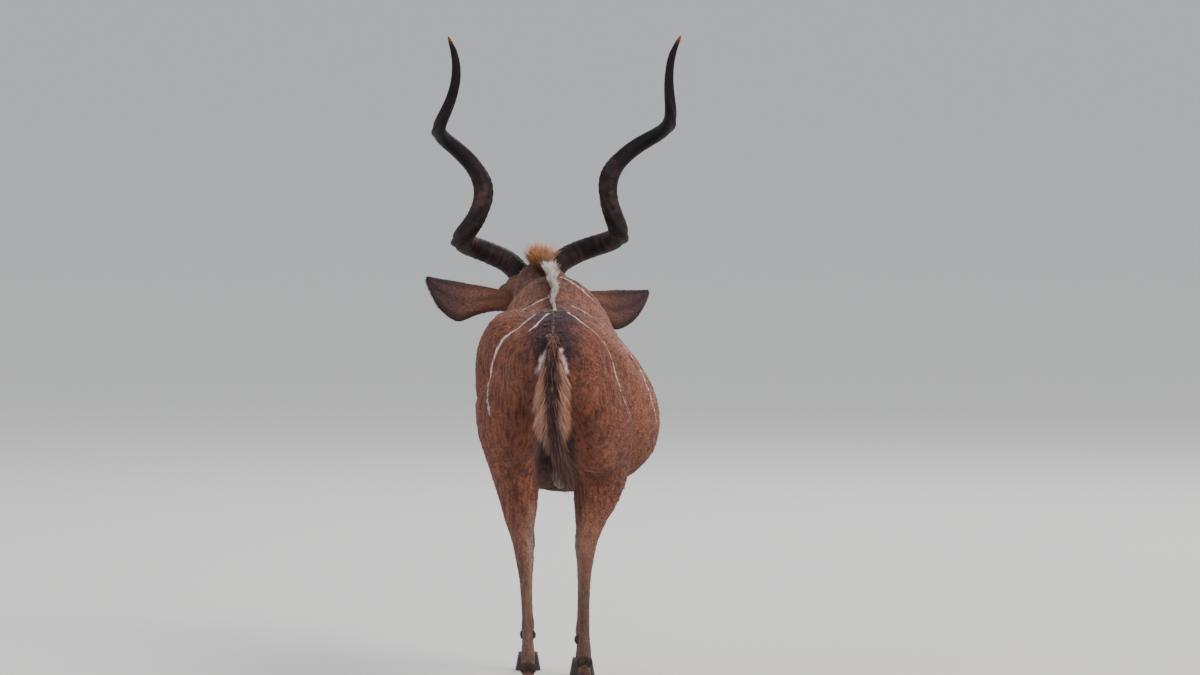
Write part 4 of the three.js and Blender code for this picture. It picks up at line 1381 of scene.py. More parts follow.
    def skin_material(self):
        """Hide that is glossier where it is bare and wet."""
        material = hair_material("Kudu hide", 420.0, 0.5, 0.75)
        nodes, links = material.node_tree.nodes, material.node_tree.links
        shader = nodes["Principled BSDF"]
        bare = nodes.new("ShaderNodeAttribute")
        bare.attribute_name = "bare"
        gloss = nodes.new("ShaderNodeMapRange")
        set_socket(gloss, "To Min", 0.78)
        set_socket(gloss, "To Max", 0.3)
        links.new(bare.outputs["Fac"], gloss.inputs["Value"])
        links.new(gloss.outputs["Result"], shader.inputs["Roughness"])
        return material

    def share(self, skin, points, normals):
        """Keeps the skin's triangles for the coat to root in."""
        skin.data.calc_loop_triangles()
        flat = np.empty(len(skin.data.loop_triangles) * 3, np.int32)
        skin.data.loop_triangles.foreach_get("vertices", flat)
        triangles = flat.reshape(-1, 3)
        a, b, c = (points[triangles[:, i]] for i in range(3))
        SHARED["skin_points"] = points
        SHARED["skin_normals"] = normals
        SHARED["skin_triangles"] = triangles
        SHARED["skin_areas"] = 0.5 * np.linalg.norm(np.cross(b - a, c - a), axis=1)
        SHARED["skin_centres"] = (a + b + c) / 3


class KUDU_OT_coat(bpy.types.Operator):
    """Short tufts of hair over the whole skin"""

    bl_idname = "kudu.coat"
    bl_label = "Short coat"

    def execute(self, context):
        sizes = context.scene.kudu_sizes
        centres = SHARED["skin_centres"]
        index, _, _ = region_of(centres)
        x, y, z = centres.T
        face = to_head(centres)
        clear = (eye_gap(face) > 24) * (nose_pad(face) < 0.5) * (z > HOOF_TOP + 4)
        trunk = (index == TRUNK_AT) * 1.0
        leg = index >= LEGS_AT
        haunch, shoulder = COAT_CUTS["haunch"], COAT_CUTS["shoulder"]
        thigh = leg * (y < LEGS_PART) * (z > COAT_CUTS["thigh"])
        rear = trunk * (y < haunch) + thigh
        flank = trunk * (y >= haunch) * (y < shoulder)
        # Each piece's roots: how densely they lie, and its share of the full number of tufts
        parts = {
            "coat_haunch_left": (rear * (x < 0), 1.08),
            "coat_haunch_right": (rear * (x >= 0), 1.08),
            "coat_flank_left": (flank * (x <= 0), 0.8),
            "coat_flank_right": (flank * (x >= 0), 0.84),
            "coat_front": (trunk * (y >= shoulder) + (index == NECK_AT), 0.95),
            "coat_legs": (leg * (1 - thigh) * (0.8 + 1.2 * (1 - ease(420, 700, z))), 0.72),
            "coat_face": ((index == HEAD_AT) * (1 + 0.9 * ease(60, 300, face[:, 1])), 0.66),
        }
        material = hair_material("Kudu coat", 260.0, 0.25, 0.62, 0.1)
        for name, (density, share) in parts.items():
            count = int(sizes.tufts * share * (1))
            piece = self.piece(name, density * clear, count, sizes)
            dress(piece, material, "face" if name == "coat_face" else "coat")
        return {"FINISHED"}

    def piece(self, name, density, count, sizes):
        roots, normals = skin_samples(count, density)
        index, along, angle = region_of(roots)
        ways = coat_lie(roots, normals, index)
        sway = rng.normal(0, 0.08, count) + 0.3 * soft_noise(roots, 70, 21)
        sway = sway + 0.45 * soft_noise(roots, 16, 22)
        ways = unit(ways + np.cross(ways, normals) * sway[:, None])
        length = np.full(count, sizes.coat_length * 1000)
        leg = index >= LEGS_AT
        length[leg] = 8 + (length[leg] - 8) * ease(420, 800, roots[leg, 2])
        head = index == HEAD_AT
        face = to_head(roots)
        length[head] = 1000 * sizes.face_length * (1.5 - 0.8 * ease(40, 320, face[head, 1]))
        length *= rng.uniform(0.75, 1.2, count)
        width = 1.1 + 0.105 * length * rng.uniform(0.8, 1.2, count)
        lift = rng.uniform(0.04, 0.22, count) + 0.3 * np.maximum(0, soft_noise(roots, 14, 23))
        points, triangles = tuft_arrays(roots, normals, ways, length, width, lift)
        triangles = facing_out(points, triangles, 4)
        # A tuft takes the colour under its middle, so that thin stripes stay in place
        middles = roots + 0.45 * length[:, None] * ways
        middle_index, _, middle_angle = region_of(middles)
        paints = coat_colours(middles, normals, middle_index, middle_angle)
        tone = rng.uniform(0.8, 1.22, count)[:, None]
        tint = np.array([1, 0.97, 0.94]) ** rng.normal(0, 1, count)[:, None]
        shades = np.array([0.78, 0.78, 1.0, 1.2])
        paints = (paints * tone * tint)[:, None] * shades[None, :, None]
        uv = unwrap_of(index, along, angle)
        return mesh_piece(name, to_row(points), triangles, np.clip(paints, 0, 1).reshape(-1, 3), uv, 4)


class KUDU_OT_mane(bpy.types.Operator):
    """Long hair of nape, back, throat and chin"""

    bl_idname = "kudu.mane"
    bl_label = "Mane, crest and fringe"

    def execute(self, context):
        material = hair_material("Kudu long hair", 180.0, 0.2, 0.55, 0.1)
        for piece in (self.nape(), self.crest(), self.throat(), self.chin()):
            dress(piece, material, "coat")
        return {"FINISHED"}

    def on_form(self, name, along, angle, depth=9.0):
        """Roots a little under a form's surface, and the way out of it."""
        form = SHARED["forms"][name]
        point = form.place(along, angle)
        out = unit(point - form.place(along, angle, 0.5))
        return point - out * depth, out

    def uv(self, name, along, angle):
        index = np.full(len(along), REGIONS.index(name))
        return unwrap_of(index, along, (angle + math.pi) % (2 * math.pi) - math.pi)

    def nape(self):
        """The mane on top of the neck, which stands up in an orange fan where the head is turned."""
        count = HAIRS["nape"]
        along = rng.uniform(0.2, 0.86, count)
        angle = rng.normal(0, 0.13, count)
        roots, out = self.on_form("neck", along, angle)
        fan = ease(0.42, 0.6, along)
        clump = soft_noise(roots, 13, 31)
        lean = rng.normal(0, 0.3, count) + 0.6 * clump - 0.02 * fan
        rises = out + np.stack([0.3 * lean, -0.8 + 0.45 * fan + 0 * along, 0.12 * fan], 1)
        rises[:, 0] += fan * 0.95 * lean + 0.5 * np.sin(angle)
        rises = unit(rises + rng.normal(0, 0.08, (count, 3)))
        falls = unit(np.array([0.0, -1, -0.2]) + rng.normal(0, 0.1, (count, 3)))
        lengths = (80 + 24 * fan + 30 * clump) * rng.uniform(0.4, 1.1, count) * (1 - 1.1 * np.abs(angle))
        widths = rng.uniform(1.6, 2.8, count)
        share = fan[:, None]
        tone = rng.uniform(0.7, 1.15, count)[:, None]
        root_paint = (PAINTS["nape_root"] * (1 - share) + PAINTS["fan_root"] * share) * tone
        tip_paint = (PAINTS["nape_tip"] * (1 - share) + PAINTS["fan_tip"] * share) * tone
        bends = rng.uniform(0.05, 0.3, count)
        uv = self.uv("neck", along, angle)
        shape = (roots, rises, falls, lengths, widths, bends)
        return strands("mane_nape", *shape, root_paint, tip_paint, uv)

    def crest(self):
        """The white crest: a thin point on the loin, widest on the withers."""
        count = HAIRS["crest"]
        y = CREST["from"] + (CREST["to"] - CREST["from"]) * rng.uniform(0, 1, count) ** 0.62
        form = SHARED["forms"]["trunk"]
        shares = np.linspace(0, 1, 400)
        along = np.interp(y, form.path(shares)[:, 1], shares)
        uneven = soft_noise(np.stack([y, 0 * y, 0 * y], 1), 50, 35)
        half = np.interp(y, *CREST["half_width"]) * (1 + 0.4 * uneven)
        aside = rng.uniform(-1, 1, count)
        middle = np.interp(y, *CREST["aside"])
        angle = (middle + aside * half * 0.6) / form.sizes(along)[:, 0]
        roots, _ = self.on_form("trunk", along, angle, 6.0)
        withers = ease(700, 1250, y)
        spread = (0.06 + 0.1 * withers) * aside + 0.34 * soft_noise(roots, 26, 33)
        rises = np.stack([spread, np.full(count, -0.8), 0.28 + 0.5 * withers], 1)
        rises = unit(rises + rng.normal(0, 0.06, (count, 3)))
        falls = unit(np.array([0.0, -1, -0.35]) + rng.normal(0, 0.1, (count, 3)))
        lengths = (26 + 74 * withers) * rng.uniform(0.6, 1.05, count)
        widths = rng.uniform(2, 3.6, count)
        white = PAINTS["crest"] * rng.uniform(0.72, 1.06, count)[:, None]
        brown = (rng.uniform(0, 1, count) < 0.04 + 0.12 * (1 - withers))[:, None]
        white = np.where(brown, PAINTS["crest_brown"], white)
        bends = rng.uniform(0.1, 0.35, count)
        uv = self.uv("trunk", along, angle)
        shape = (roots, rises, falls, lengths, widths, bends)
        # The roots are painted a quarter darker than the tips: painted shade among the hairs
        return strands("crest_back", *shape, white * 0.75, white, uv)

    def throat(self):
        """The fringe under the neck: dark hair with pale hair among it."""
        count = HAIRS["throat"]
        share = rng.uniform(-0.02, 1.02, count)
        along = 0.9 - 0.58 * share
        angle = math.pi + rng.normal(0, 0.14, count)
        roots, out = self.on_form("neck", along, angle)
        rises = unit(out + np.array([0, 0, -0.3]) + rng.normal(0, 0.1, (count, 3)))
        rises[:, 1] += 0.22 * soft_noise(roots, 50, 37)
        rises[:, 0] += 0.2 * soft_noise(roots, 40, 39)
        rises = unit(rises)
        falls = unit(np.array([0.0, -0.25, -1]) + rng.normal(0, 0.08, (count, 3)))
        lengths = (118 + 44 * np.sin(math.pi * np.clip(share, 0, 1))) * rng.uniform(0.55, 1.05, count)
        widths = rng.uniform(2.8, 4.6, count)
        pale = (rng.uniform(0, 1, count) < 0.35)[:, None]
        root_paint = np.where(pale, PAINTS["throat_pale_root"], PAINTS["throat_root"])
        tip_paint = np.where(pale, PAINTS["throat_pale_tip"], PAINTS["throat_tip"])
        bends = rng.uniform(0.2, 0.5, count)
        uv = self.uv("neck", along, angle)
        shape = (roots, rises, falls, lengths, widths, bends)
        return strands("fringe_throat", *shape, root_paint, tip_paint, uv)

    def chin(self):
        """The short pale beard."""
        count = HAIRS["chin"]
        y = rng.uniform(238, 372, count)
        x = rng.normal(0, 11, count)
        roots = from_head(np.stack([x, y, np.full(count, -108.0)], 1))
        rises = unit(np.stack([0.012 * x, np.full(count, 0.1), np.full(count, -1.0)], 1) @ HEAD_WAYS.T)
        falls = np.tile(unit(np.array([0, -0.3, -1.0])), (count, 1))
        lengths = rng.uniform(24, 44, count)
        widths = rng.uniform(1.6, 2.6, count)
        root_paint = np.tile(PAINTS["chin"], (count, 1))
        index, along, angle = region_of(roots)
        bends = rng.uniform(0.2, 0.4, count)
        uv = unwrap_of(index, along, angle)
        shape = (roots, rises, falls, lengths, widths, bends)
        return strands("beard_chin", *shape, root_paint, root_paint * 0.9, uv)


class KUDU_OT_tail(bpy.types.Operator):
    """Tail: a dock under long hair"""

    bl_idname = "kudu.tail"
    bl_label = "Tail"

    def execute(self, context):
        dock = Limb(DOCK, grow=-2)
        core = ball("tail_dock", 28, 60, dock.place)
        points = to_sizes(points_of(core))
        colour_points(core, np.tile(PAINTS["tail_dock"], (len(points), 1)))
        dress(core, hair_material("Tail dock", 420.0, 0.4, 0.8), "tail_hair", "tail")
        material = hair_material("Tail hair", 160.0, 0.2, 0.55, 0.1)
        dress(self.hair(dock), material, "tail_hair")
        return {"FINISHED"}

    def hair(self, dock):
        """A dark middle with paler vanes to both sides, as on a feather, and a dark brush at the end."""
        vanes = self.vanes(dock, HAIRS["vanes"])
        middle = self.middle(dock, HAIRS["middle"])
        brush = self.brush(dock, HAIRS["brush"])
        roots, rises, lengths, widths, root_paint, tip_paint, along, angle = (
            np.concatenate(parts) for parts in zip(vanes, middle, brush)
        )
        falls = np.tile([0.08, 0.02, -1.0], (len(roots), 1))
        left, bottom, width, height = UNWRAP["tail"]
        turn = (angle / (2 * math.pi) + 0.5) % 1
        uv = np.stack([left + width * turn, bottom + height * along], 1)
        bends = rng.uniform(0.1, 0.34, len(roots))
        shape = (roots, rises, falls, lengths, widths, bends)
        return strands("tail_hair", *shape, root_paint, tip_paint, uv)

    def roots_at(self, dock, along, angle):
        """Roots a little under the dock's surface, and the way out of it."""
        out = unit(dock.place(along, angle) - dock.place(along, angle, 0.3))
        return dock.place(along, angle, 0.85), out

    def vanes(self, dock, count):
        """Hair that spreads to both sides, paler at its tips."""
        along = rng.uniform(0.3, 0.93, count)
        side = np.where(rng.uniform(0, 1, count) < 0.5, -1, 1)
        angle = side * (math.pi / 2 + rng.normal(0, 0.42, count))
        roots, _ = self.roots_at(dock, along, angle)
        reach = np.interp(roots[:, 2], *TAIL["spread"]) - 12
        clump = soft_noise(roots, 13, 43)
        spread = 0.62 - 0.3 * ease(0.6, 0.9, along) + 0.12 * clump
        back = 0.12 * np.cos(angle) + rng.normal(0, 0.07, count)
        rises = unit(np.stack([side * spread + rng.normal(0, 0.05, count), back, np.full(count, -1.0)], 1))
        lengths = reach / 0.52 * rng.uniform(0.45, 1.08, count) * (1 + 0.15 * clump)
        widths = rng.uniform(1.8, 3.2, count)
        tone = rng.uniform(0, 1, count)[:, None]
        low = ease(0.6, 0.84, along)[:, None]
        root_paint = PAINTS["vane_root"] * (1 - tone) + PAINTS["vane_pale_root"] * tone
        root_paint = root_paint * (1 - low) + PAINTS["vane_low_root"] * low
        tip_paint = PAINTS["vane_tip"] * (1 - tone) + PAINTS["vane_pale_tip"] * tone
        tip_paint = tip_paint * (1 - low) + PAINTS["vane_low_tip"] * low
        return roots, rises, lengths, widths, root_paint, tip_paint, along, angle

    def middle(self, dock, count):
        """Short dark hair down the back of the dock, paler at its root."""
        along = rng.uniform(0.06, 0.92, count)
        angle = math.pi + rng.normal(0, 0.6, count)
        roots, out = self.roots_at(dock, along, angle)
        _, ahead, _, _ = dock.frame(along)
        clump = soft_noise(roots, 12, 45)
        rises = ahead + 0.22 * out
        rises[:, 0] += 0.2 * clump + 0.1 * np.sin(angle)
        rises = unit(rises + rng.normal(0, 0.06, (count, 3)))
        top = 1 - ease(0.2, 0.42, along)
        lengths = (58 - 30 * top) * rng.uniform(0.6, 1.05, count)
        widths = rng.uniform(1.8, 3.2, count)
        pale = (rng.uniform(0, 1, count) < 0.1 + 0.3 * top)[:, None]
        dark = PAINTS["tail_middle"]
        root_paint = np.where(pale, PAINTS["middle_pale_root"], dark)
        tip_paint = np.where(pale, PAINTS["middle_pale_tip"], dark * 1.1)
        return roots, rises, lengths, widths, root_paint, tip_paint, along, angle

    def brush(self, dock, count):
        """The dark brush at the tail's end."""
        along = rng.uniform(0.78, 0.99, count)
        angle = rng.uniform(-math.pi, math.pi, count)
        roots, out = self.roots_at(dock, along, angle)
        lean = 0.26 + 0.14 * rng.normal(0, 1, count)
        rises = unit(np.stack([lean + 0.1 * np.sin(angle), 0.1 * out[:, 1], np.full(count, -1.0)], 1))
        lengths = rng.uniform(55, 118, count)
        widths = rng.uniform(2, 3.4, count)
        tone = rng.uniform(0, 1, count)[:, None]
        root_paint = np.tile(PAINTS["brush_root"], (count, 1))
        tip_paint = PAINTS["brush_tip"] * (1 - tone) + PAINTS["brush_pale_tip"] * tone
        return roots, rises, lengths, widths, root_paint, tip_paint, along, angle


def ear_grid(side):
    """Points of both faces of an ear, as arrays of row, column and face, and the way from root to tip."""
    axis = unit(LEVEL_WAYS @ np.array([side, EAR_SWEEP[side], EAR_RAISE[side]]))
    mouth = LEVEL_WAYS @ unit(np.array([0.12 * side, 0.84, -0.3]))
    mouth = unit(mouth - axis * (mouth @ axis))
    width = np.cross(axis, mouth) * side
    root = from_head(np.array(EAR["root"]) * [side, 1, 1])
    rows, columns = np.linspace(0, 1, EAR_ROWS + 1), np.linspace(-1, 1, EAR_COLUMNS + 1)
    u, v, face = np.meshgrid(rows, columns, [0, 1], indexing="ij")
    run, half, drop = (spline(EAR_LEAF)(u.ravel()).reshape(*u.shape, 3)[..., i] for i in range(3))
    opening = EAR_OPEN["root"] + (EAR_OPEN["tip"] - EAR_OPEN["root"]) * u
    radius = half / np.sin(np.minimum(opening, math.pi / 2))
    wall = EAR["wall"] * (1 - EAR["thin"] * u)
    turn = opening * v
    depth = radius + (face - 0.5) * wall * (1 - 0.7 * np.abs(v) ** 6)
    points = root + axis * (run - EAR["sunk"])[..., None]
    points = points + width * (depth * np.sin(turn) - drop)[..., None]
    points = points + mouth * (EAR["flatter"] * (radius - depth * np.cos(turn)))[..., None]
    return points, u, v, face, axis


def ear_colours(u, v, face):
    """Ear colours: brown back (face 1) streaked with painted shade along its folds, pale inside (face 0),
    dark rim and tip.
    """
    inside = face < 0.5
    back = PAINTS["ear_back"] + (PAINTS["ear_low"] - PAINTS["ear_back"]) * ease(0.1, 0.75, u)[..., None]
    # Painted shade: dark lengthwise streaks along the folds of the ear's back
    fold = 0.5 + 0.5 * np.sin(9.5 * v + 1.6 * np.sin(3 * u) + 0.6)
    back = back * (1 - 0.42 * (fold**2 * ease(0.02, 0.25, u)))[..., None]
    paints = np.where(inside[..., None], PAINTS["ear_inside"], back)
    middle = np.exp(-((v / 0.45) ** 2)) * inside
    paints = paints + (PAINTS["ear_hollow"] - paints) * (0.7 * middle)[..., None]
    rim = ease(0.66, 0.97, np.abs(v)) * ease(0.1, 0.5, u) + ease(0.74, 0.97, u)
    strength = np.clip(rim * np.where(inside, 0.6, 0.9), 0, 1)
    return paints + (PAINTS["ear_rim"] - paints) * strength[..., None]


class KUDU_OT_ears(bpy.types.Operator):
    """Cupped ears with short hair"""

    bl_idname = "kudu.ears"
    bl_label = "Ears"

    def execute(self, context):
        hide = hair_material("Ear skin", 500.0, 0.4, 0.7)
        hair = hair_material("Ear hair", 260.0, 0.2, 0.62, 0.1)
        for side, name in SIDES.items():
            points, u, v, face, axis = ear_grid(side)
            shell = self.shell(f"ear_{name}_skin", points, ear_colours(u, v, face))
            dress(shell, hide, "ear", f"ear_{name}")
            tufts = self.tufts(f"ear_{name}_hair", side, points, axis)
            dress(tufts, hair, "ear")
        return {"FINISHED"}

    def shell(self, name, points, paints):
        """The two faces of the ear, joined round the rim."""
        rows, columns = EAR_ROWS, EAR_COLUMNS
        order = points.transpose(2, 0, 1, 3).reshape(-1, 3)
        paints = paints.transpose(2, 0, 1, 3).reshape(-1, 3)
        triangles = []

        def cell(row, column, face):
            return (face * (rows + 1) + row) * (columns + 1) + column

        def quad(*corners):
            a, b, c, d = (cell(*corner) for corner in corners)
            triangles.extend([(a, b, c), (a, c, d)])

        for row in range(rows):
            for column in range(columns):
                corners = [(row, column), (row, column + 1), (row + 1, column + 1), (row + 1, column)]
                quad(*((*corner, 1) for corner in corners))
                quad(*((*corner, 0) for corner in reversed(corners)))
            quad((row, 0, 0), (row, 0, 1), (row + 1, 0, 1), (row + 1, 0, 0))
            last = columns
            quad((row, last, 1), (row, last, 0), (row + 1, last, 0), (row + 1, last, 1))
        for column in range(columns):
            quad((0, column, 0), (0, column + 1, 0), (0, column + 1, 1), (0, column, 1))
            quad((rows, column, 1), (rows, column + 1, 1), (rows, column + 1, 0), (rows, column, 0))
        piece = mesh_piece(name, to_row(order), np.array(triangles), paints)
        turn_outwards(piece)
        shade_smooth(piece)
        return piece

    def tufts(self, name, side, points, axis):
        """Short hair on both faces of the ear, longer inside towards the edges."""
        count = EAR_TUFTS
        u = rng.uniform(0.06, 0.97, count)
        v = rng.uniform(-0.99, 0.99, count)
        back = (rng.uniform(0, 1, count) < 0.6).astype(int)
        inside = back == 0
        down, across = u * EAR_ROWS, (v + 1) / 2 * EAR_COLUMNS
        row = np.minimum(down.astype(int), EAR_ROWS - 1)
        column = np.minimum(across.astype(int), EAR_COLUMNS - 1)
        down, across = (down - row)[:, None], (across - column)[:, None]
        a, b = points[row, column, back], points[row, column + 1, back]
        c, d = points[row + 1, column, back], points[row + 1, column + 1, back]
        roots = (a * (1 - across) + b * across) * (1 - down) + (c * (1 - across) + d * across) * down
        wall = points[row, column, 1] - points[row, column, 0]
        normals = unit(np.cross(b - a, c - a))
        wrong = ((normals * wall).sum(1) < 0) != inside
        normals[wrong] *= -1
        ways = unit(axis - normals * (normals @ axis)[:, None] + rng.normal(0, 0.15, (count, 3)))
        length = np.where(inside, 11.0, 8.0) * rng.uniform(0.7, 1.2, count)
        fringe = inside & (np.abs(v) > 0.4) & (u < 0.7)
        length[fringe] *= 1.8
        width = 1.1 + 0.1 * length
        lift = rng.uniform(0.08, 0.3, count) + 0.3 * fringe
        tuft_points, triangles = tuft_arrays(roots, normals, ways, length, width, lift)
        triangles = facing_out(tuft_points, triangles, 4)
        paints = ear_colours(u, v, back.astype(float)) * rng.uniform(0.8, 1.2, count)[:, None]
        paints = np.repeat(paints, 4, 0)
        left, bottom, wide, high = UNWRAP["ears"]
        half = wide / 2
        uv = np.stack([left + half * (side > 0) + half * 0.48 * (back + (v + 1) / 2), bottom + high * u], 1)
        return mesh_piece(name, to_row(tuft_points), triangles, np.clip(paints, 0, 1), uv, 4)


def horn_line(side):
    """The middle line of a horn, from within the skull to the tip."""
    share = np.arange(HORN_SEAT["points"] + 1) / HORN_SEAT["points"]
    out, back = HORN_AXIS["out"], HORN_AXIS["back"]
    slopes = [out[0] + 2 * out[1] * share, back[0] + 2 * back[1] * share, np.ones_like(share)]
    axis = unit(np.stack(slopes, 1))
    outwards = unit(np.array([1.0, 0, 0]) - axis * axis[:, :1])
    backwards = np.cross(axis, outwards)
    radius = np.interp(share, [0, 0.5, 1], WINDING["radius"])
    turn = WINDING["start"] + WINDING["turn"] * share * (1 + WINDING["quicken"] * (1 - share))
    winding = (outwards * np.cos(turn)[:, None] + backwards * np.sin(turn)[:, None]) * radius[:, None]
    inwards = HORN_SEAT["inwards"] * np.exp(-((share / HORN_SEAT["within"]) ** 2))
    height = HORN_AXIS["height"]
    point = winding - winding[0]
    point[:, 0] += HORN_AXIS["base"] - inwards + height * share * (out[0] + out[1] * share)
    point[:, 1] += height * share * (back[0] + back[1] * share)
    point[:, 2] += height * share
    line = (point * [side, -1, 1]) @ LEVEL_WAYS.T + HORN_BASE
    seat = line[0] + HEAD_WAYS @ unit(np.array([-side * 0.3, 0, -1])) * HORN_SEAT["sunk"]
    return spline(np.vstack([seat, line]))


def horn_frame(side):
    """Even places along a horn: share, middle, two ways across it, and the angle of its keel."""
    path = horn_line(side)(np.linspace(0, 1, 1600))
    run = np.append(0, np.cumsum(np.linalg.norm(np.diff(path, axis=0), axis=1)))
    share = np.linspace(0, 1, HORN_STEPS)
    centre = np.stack([np.interp(share * run[-1], run, path[:, i]) for i in range(3)], 1)
    ahead = unit(np.gradient(centre, axis=0))
    curve = np.gradient(ahead, axis=0)
    # The first way is carried along the line without twist, so that the keel winds as the horn does
    normal = np.zeros_like(centre)
    normal[0] = unit(np.cross(ahead[0], [0, 1.0, 0.3]))
    for i in range(1, HORN_STEPS):
        normal[i] = unit(normal[i - 1] - ahead[i] * (normal[i - 1] @ ahead[i]))
    other = np.cross(ahead, normal)
    turn_back = np.unwrap(np.arctan2((-curve * other).sum(1), (-curve * normal).sum(1)))
    window = np.ones(KEEL_WINDOW) / KEEL_WINDOW
    keel = np.convolve(np.pad(turn_back, KEEL_WINDOW // 2, mode="edge"), window, mode="valid")
    return share, centre, normal, other, keel


class KUDU_OT_horns(bpy.types.Operator):
    """Spiral horns with a keel and rings"""

    bl_idname = "kudu.horns"
    bl_label = "Horns"

    def execute(self, context):
        material = self.material()
        for side, name in SIDES.items():
            piece = self.horn(f"horn_{name}_spiral", side)
            dress(piece, material, "horn", f"horn_{name}")
        return {"FINISHED"}

    def horn(self, name, side):
        """One horn: round, with a keel along its outer turn, and rings on its lower half."""
        share, centre, normal, other, keel = horn_frame(side)

        def place(along, angle, reach):
            row = np.rint(along * (HORN_STEPS - 1)).astype(int)
            s = share[row]
            thick = (1 - s) ** HORN["taper"]
            radius = HORN["tip_radius"] + (HORN["base_radius"] - HORN["tip_radius"]) * thick
            turn = angle + keel[row]
            ridge = 1 + HORN["keel"] * np.maximum(0, np.cos(angle)) ** 22
            ridge = ridge - 0.07 * np.exp(-(((np.abs(angle) - 0.5) / 0.2) ** 2)) * (1 - ease(0.8, 0.95, s))
            low = 1 - ease(0.42, 0.62, s)
            wave = s * 74 + 0.9 * np.sin(s * 23) + 0.35 * np.cos(2 * angle)
            wave = wave + 0.2 * np.sin(5 * angle + 40 * s)
            rings = (np.abs(np.sin(math.pi * wave)) ** 0.6 - 0.7) * 0.075 * low
            rings = rings * (0.7 + 0.3 * np.cos(angle - 0.4))
            furrow = 0.008 * np.sin(9 * angle + 5 * np.sin(s * 20)) * (1 - ease(0.7, 0.9, s))
            size = reach * radius * (ridge + rings + furrow)
            side_way = normal[row] * np.cos(turn)[:, None] + other[row] * np.sin(turn)[:, None]
            return centre[row] + side_way * size[:, None]

        piece = ball(name, 48, HORN_STEPS, place)
        points = to_sizes(points_of(piece))
        near = 4 * nearest_of(points, centre[::4])
        keel_way = normal[near] * np.cos(keel[near])[:, None]
        keel_way = keel_way + other[near] * np.sin(keel[near])[:, None]
        on_keel = (unit(points - centre[near]) * keel_way).sum(1)
        colour_points(piece, self.colours(points, share[near], on_keel))
        shade_smooth(piece)
        return piece

    def colours(self, points, s, on_keel):
        """Dark brown and darker above, with paler rings and patches of painted highlight on the lower half,
        darker bands of painted shade between the rings, a thin line of painted shade beside the keel, and a
        pale tip.
        """
        paints = np.tile(PAINTS["horn"], (len(points), 1))
        paints = mix(paints, PAINTS["horn_top"], ease(0.25, 0.62, s))
        ring = soft_noise(np.stack([s * 1000, on_keel * 8, 0 * s], 1), 7, 51)
        patch = soft_noise(points, 24, 53)
        # Painted highlight: paler rings and patches on the lower half
        highlight = np.maximum(0, 0.6 * ring + 0.6 * patch) * (1 - ease(0.4, 0.65, s))
        paints = mix(paints, PAINTS["horn_highlight"], 0.5 * highlight)
        # Painted shade: darker bands between the paler rings
        paints = mix(paints, PAINTS["horn_groove_shade"], np.maximum(0, -ring - 0.4 * patch) * 0.9)
        # Painted shade: a thin dark line beside the keel
        paints = mix(paints, PAINTS["horn_keel_shade"], (1 - ease(0.03, 0.2, np.abs(on_keel - 0.88))) * 0.6)
        paints = mix(paints, PAINTS["horn_tip"], ease(0.978, 0.994, s) * 0.7)
        return np.clip(paints, 0, 1)

    def material(self):
        material = hair_material("Kudu horn", 140.0, 0.5, 0.58)
        set_socket(material.node_tree.nodes["Principled BSDF"], "Specular IOR Level", 0.16)
        return material


class KUDU_OT_eyes(bpy.types.Operator):
    """Dark wet eyes with a level pupil"""

    bl_idname = "kudu.eyes"
    bl_label = "Eyes"

    def execute(self, context):
        material, nodes, links, shader = new_material("Kudu eye")
        colour = nodes.new("ShaderNodeAttribute")
        colour.attribute_name = "coat"
        links.new(colour.outputs["Color"], shader.inputs["Base Color"])
        set_socket(shader, "Roughness", 0.06)
        set_socket(shader, "Coat Weight", 1.0)
        set_socket(shader, "Coat Roughness", 0.02)
        for side, name in SIDES.items():
            centre = np.array(EYE_PLACE) * [side, 1, 1]
            piece = egg(f"eyeball_{name}", centre, [EYE_RADIUS] * 3, HEAD_WAYS, 72, 60)
            away = to_head(to_sizes(points_of(piece))) - centre
            look = unit(np.array([side, 0.32, 0.12]))
            level = unit(np.cross(look, [0, 0.67, 0.74]))
            high = np.cross(level, look)
            ahead = away @ look / EYE_RADIUS
            wide, tall = away @ level / EYE_RADIUS, away @ high / EYE_RADIUS
            out = np.hypot(wide, tall)
            paints = np.tile(PAINTS["eyeball"], (len(away), 1))
            iris = (ahead > 0) * (1 - ease(0.8, 0.88, out))
            paints = mix(paints, PAINTS["iris"], iris)
            fibres = 1 + 0.25 * np.sin(np.arctan2(tall, wide) * 41)
            paints = paints * np.where(iris > 0.5, fibres, 1)[:, None]
            pupil = (ahead > 0) * (1 - ease(0.9, 1.0, np.hypot(wide / 0.42, tall / 0.2)))
            paints = mix(paints, PAINTS["pupil"], pupil)
            colour_points(piece, np.clip(paints, 0, 1))
            shade_smooth(piece)
            dress(piece, material, "eye", f"eye_{name}")
        return {"FINISHED"}


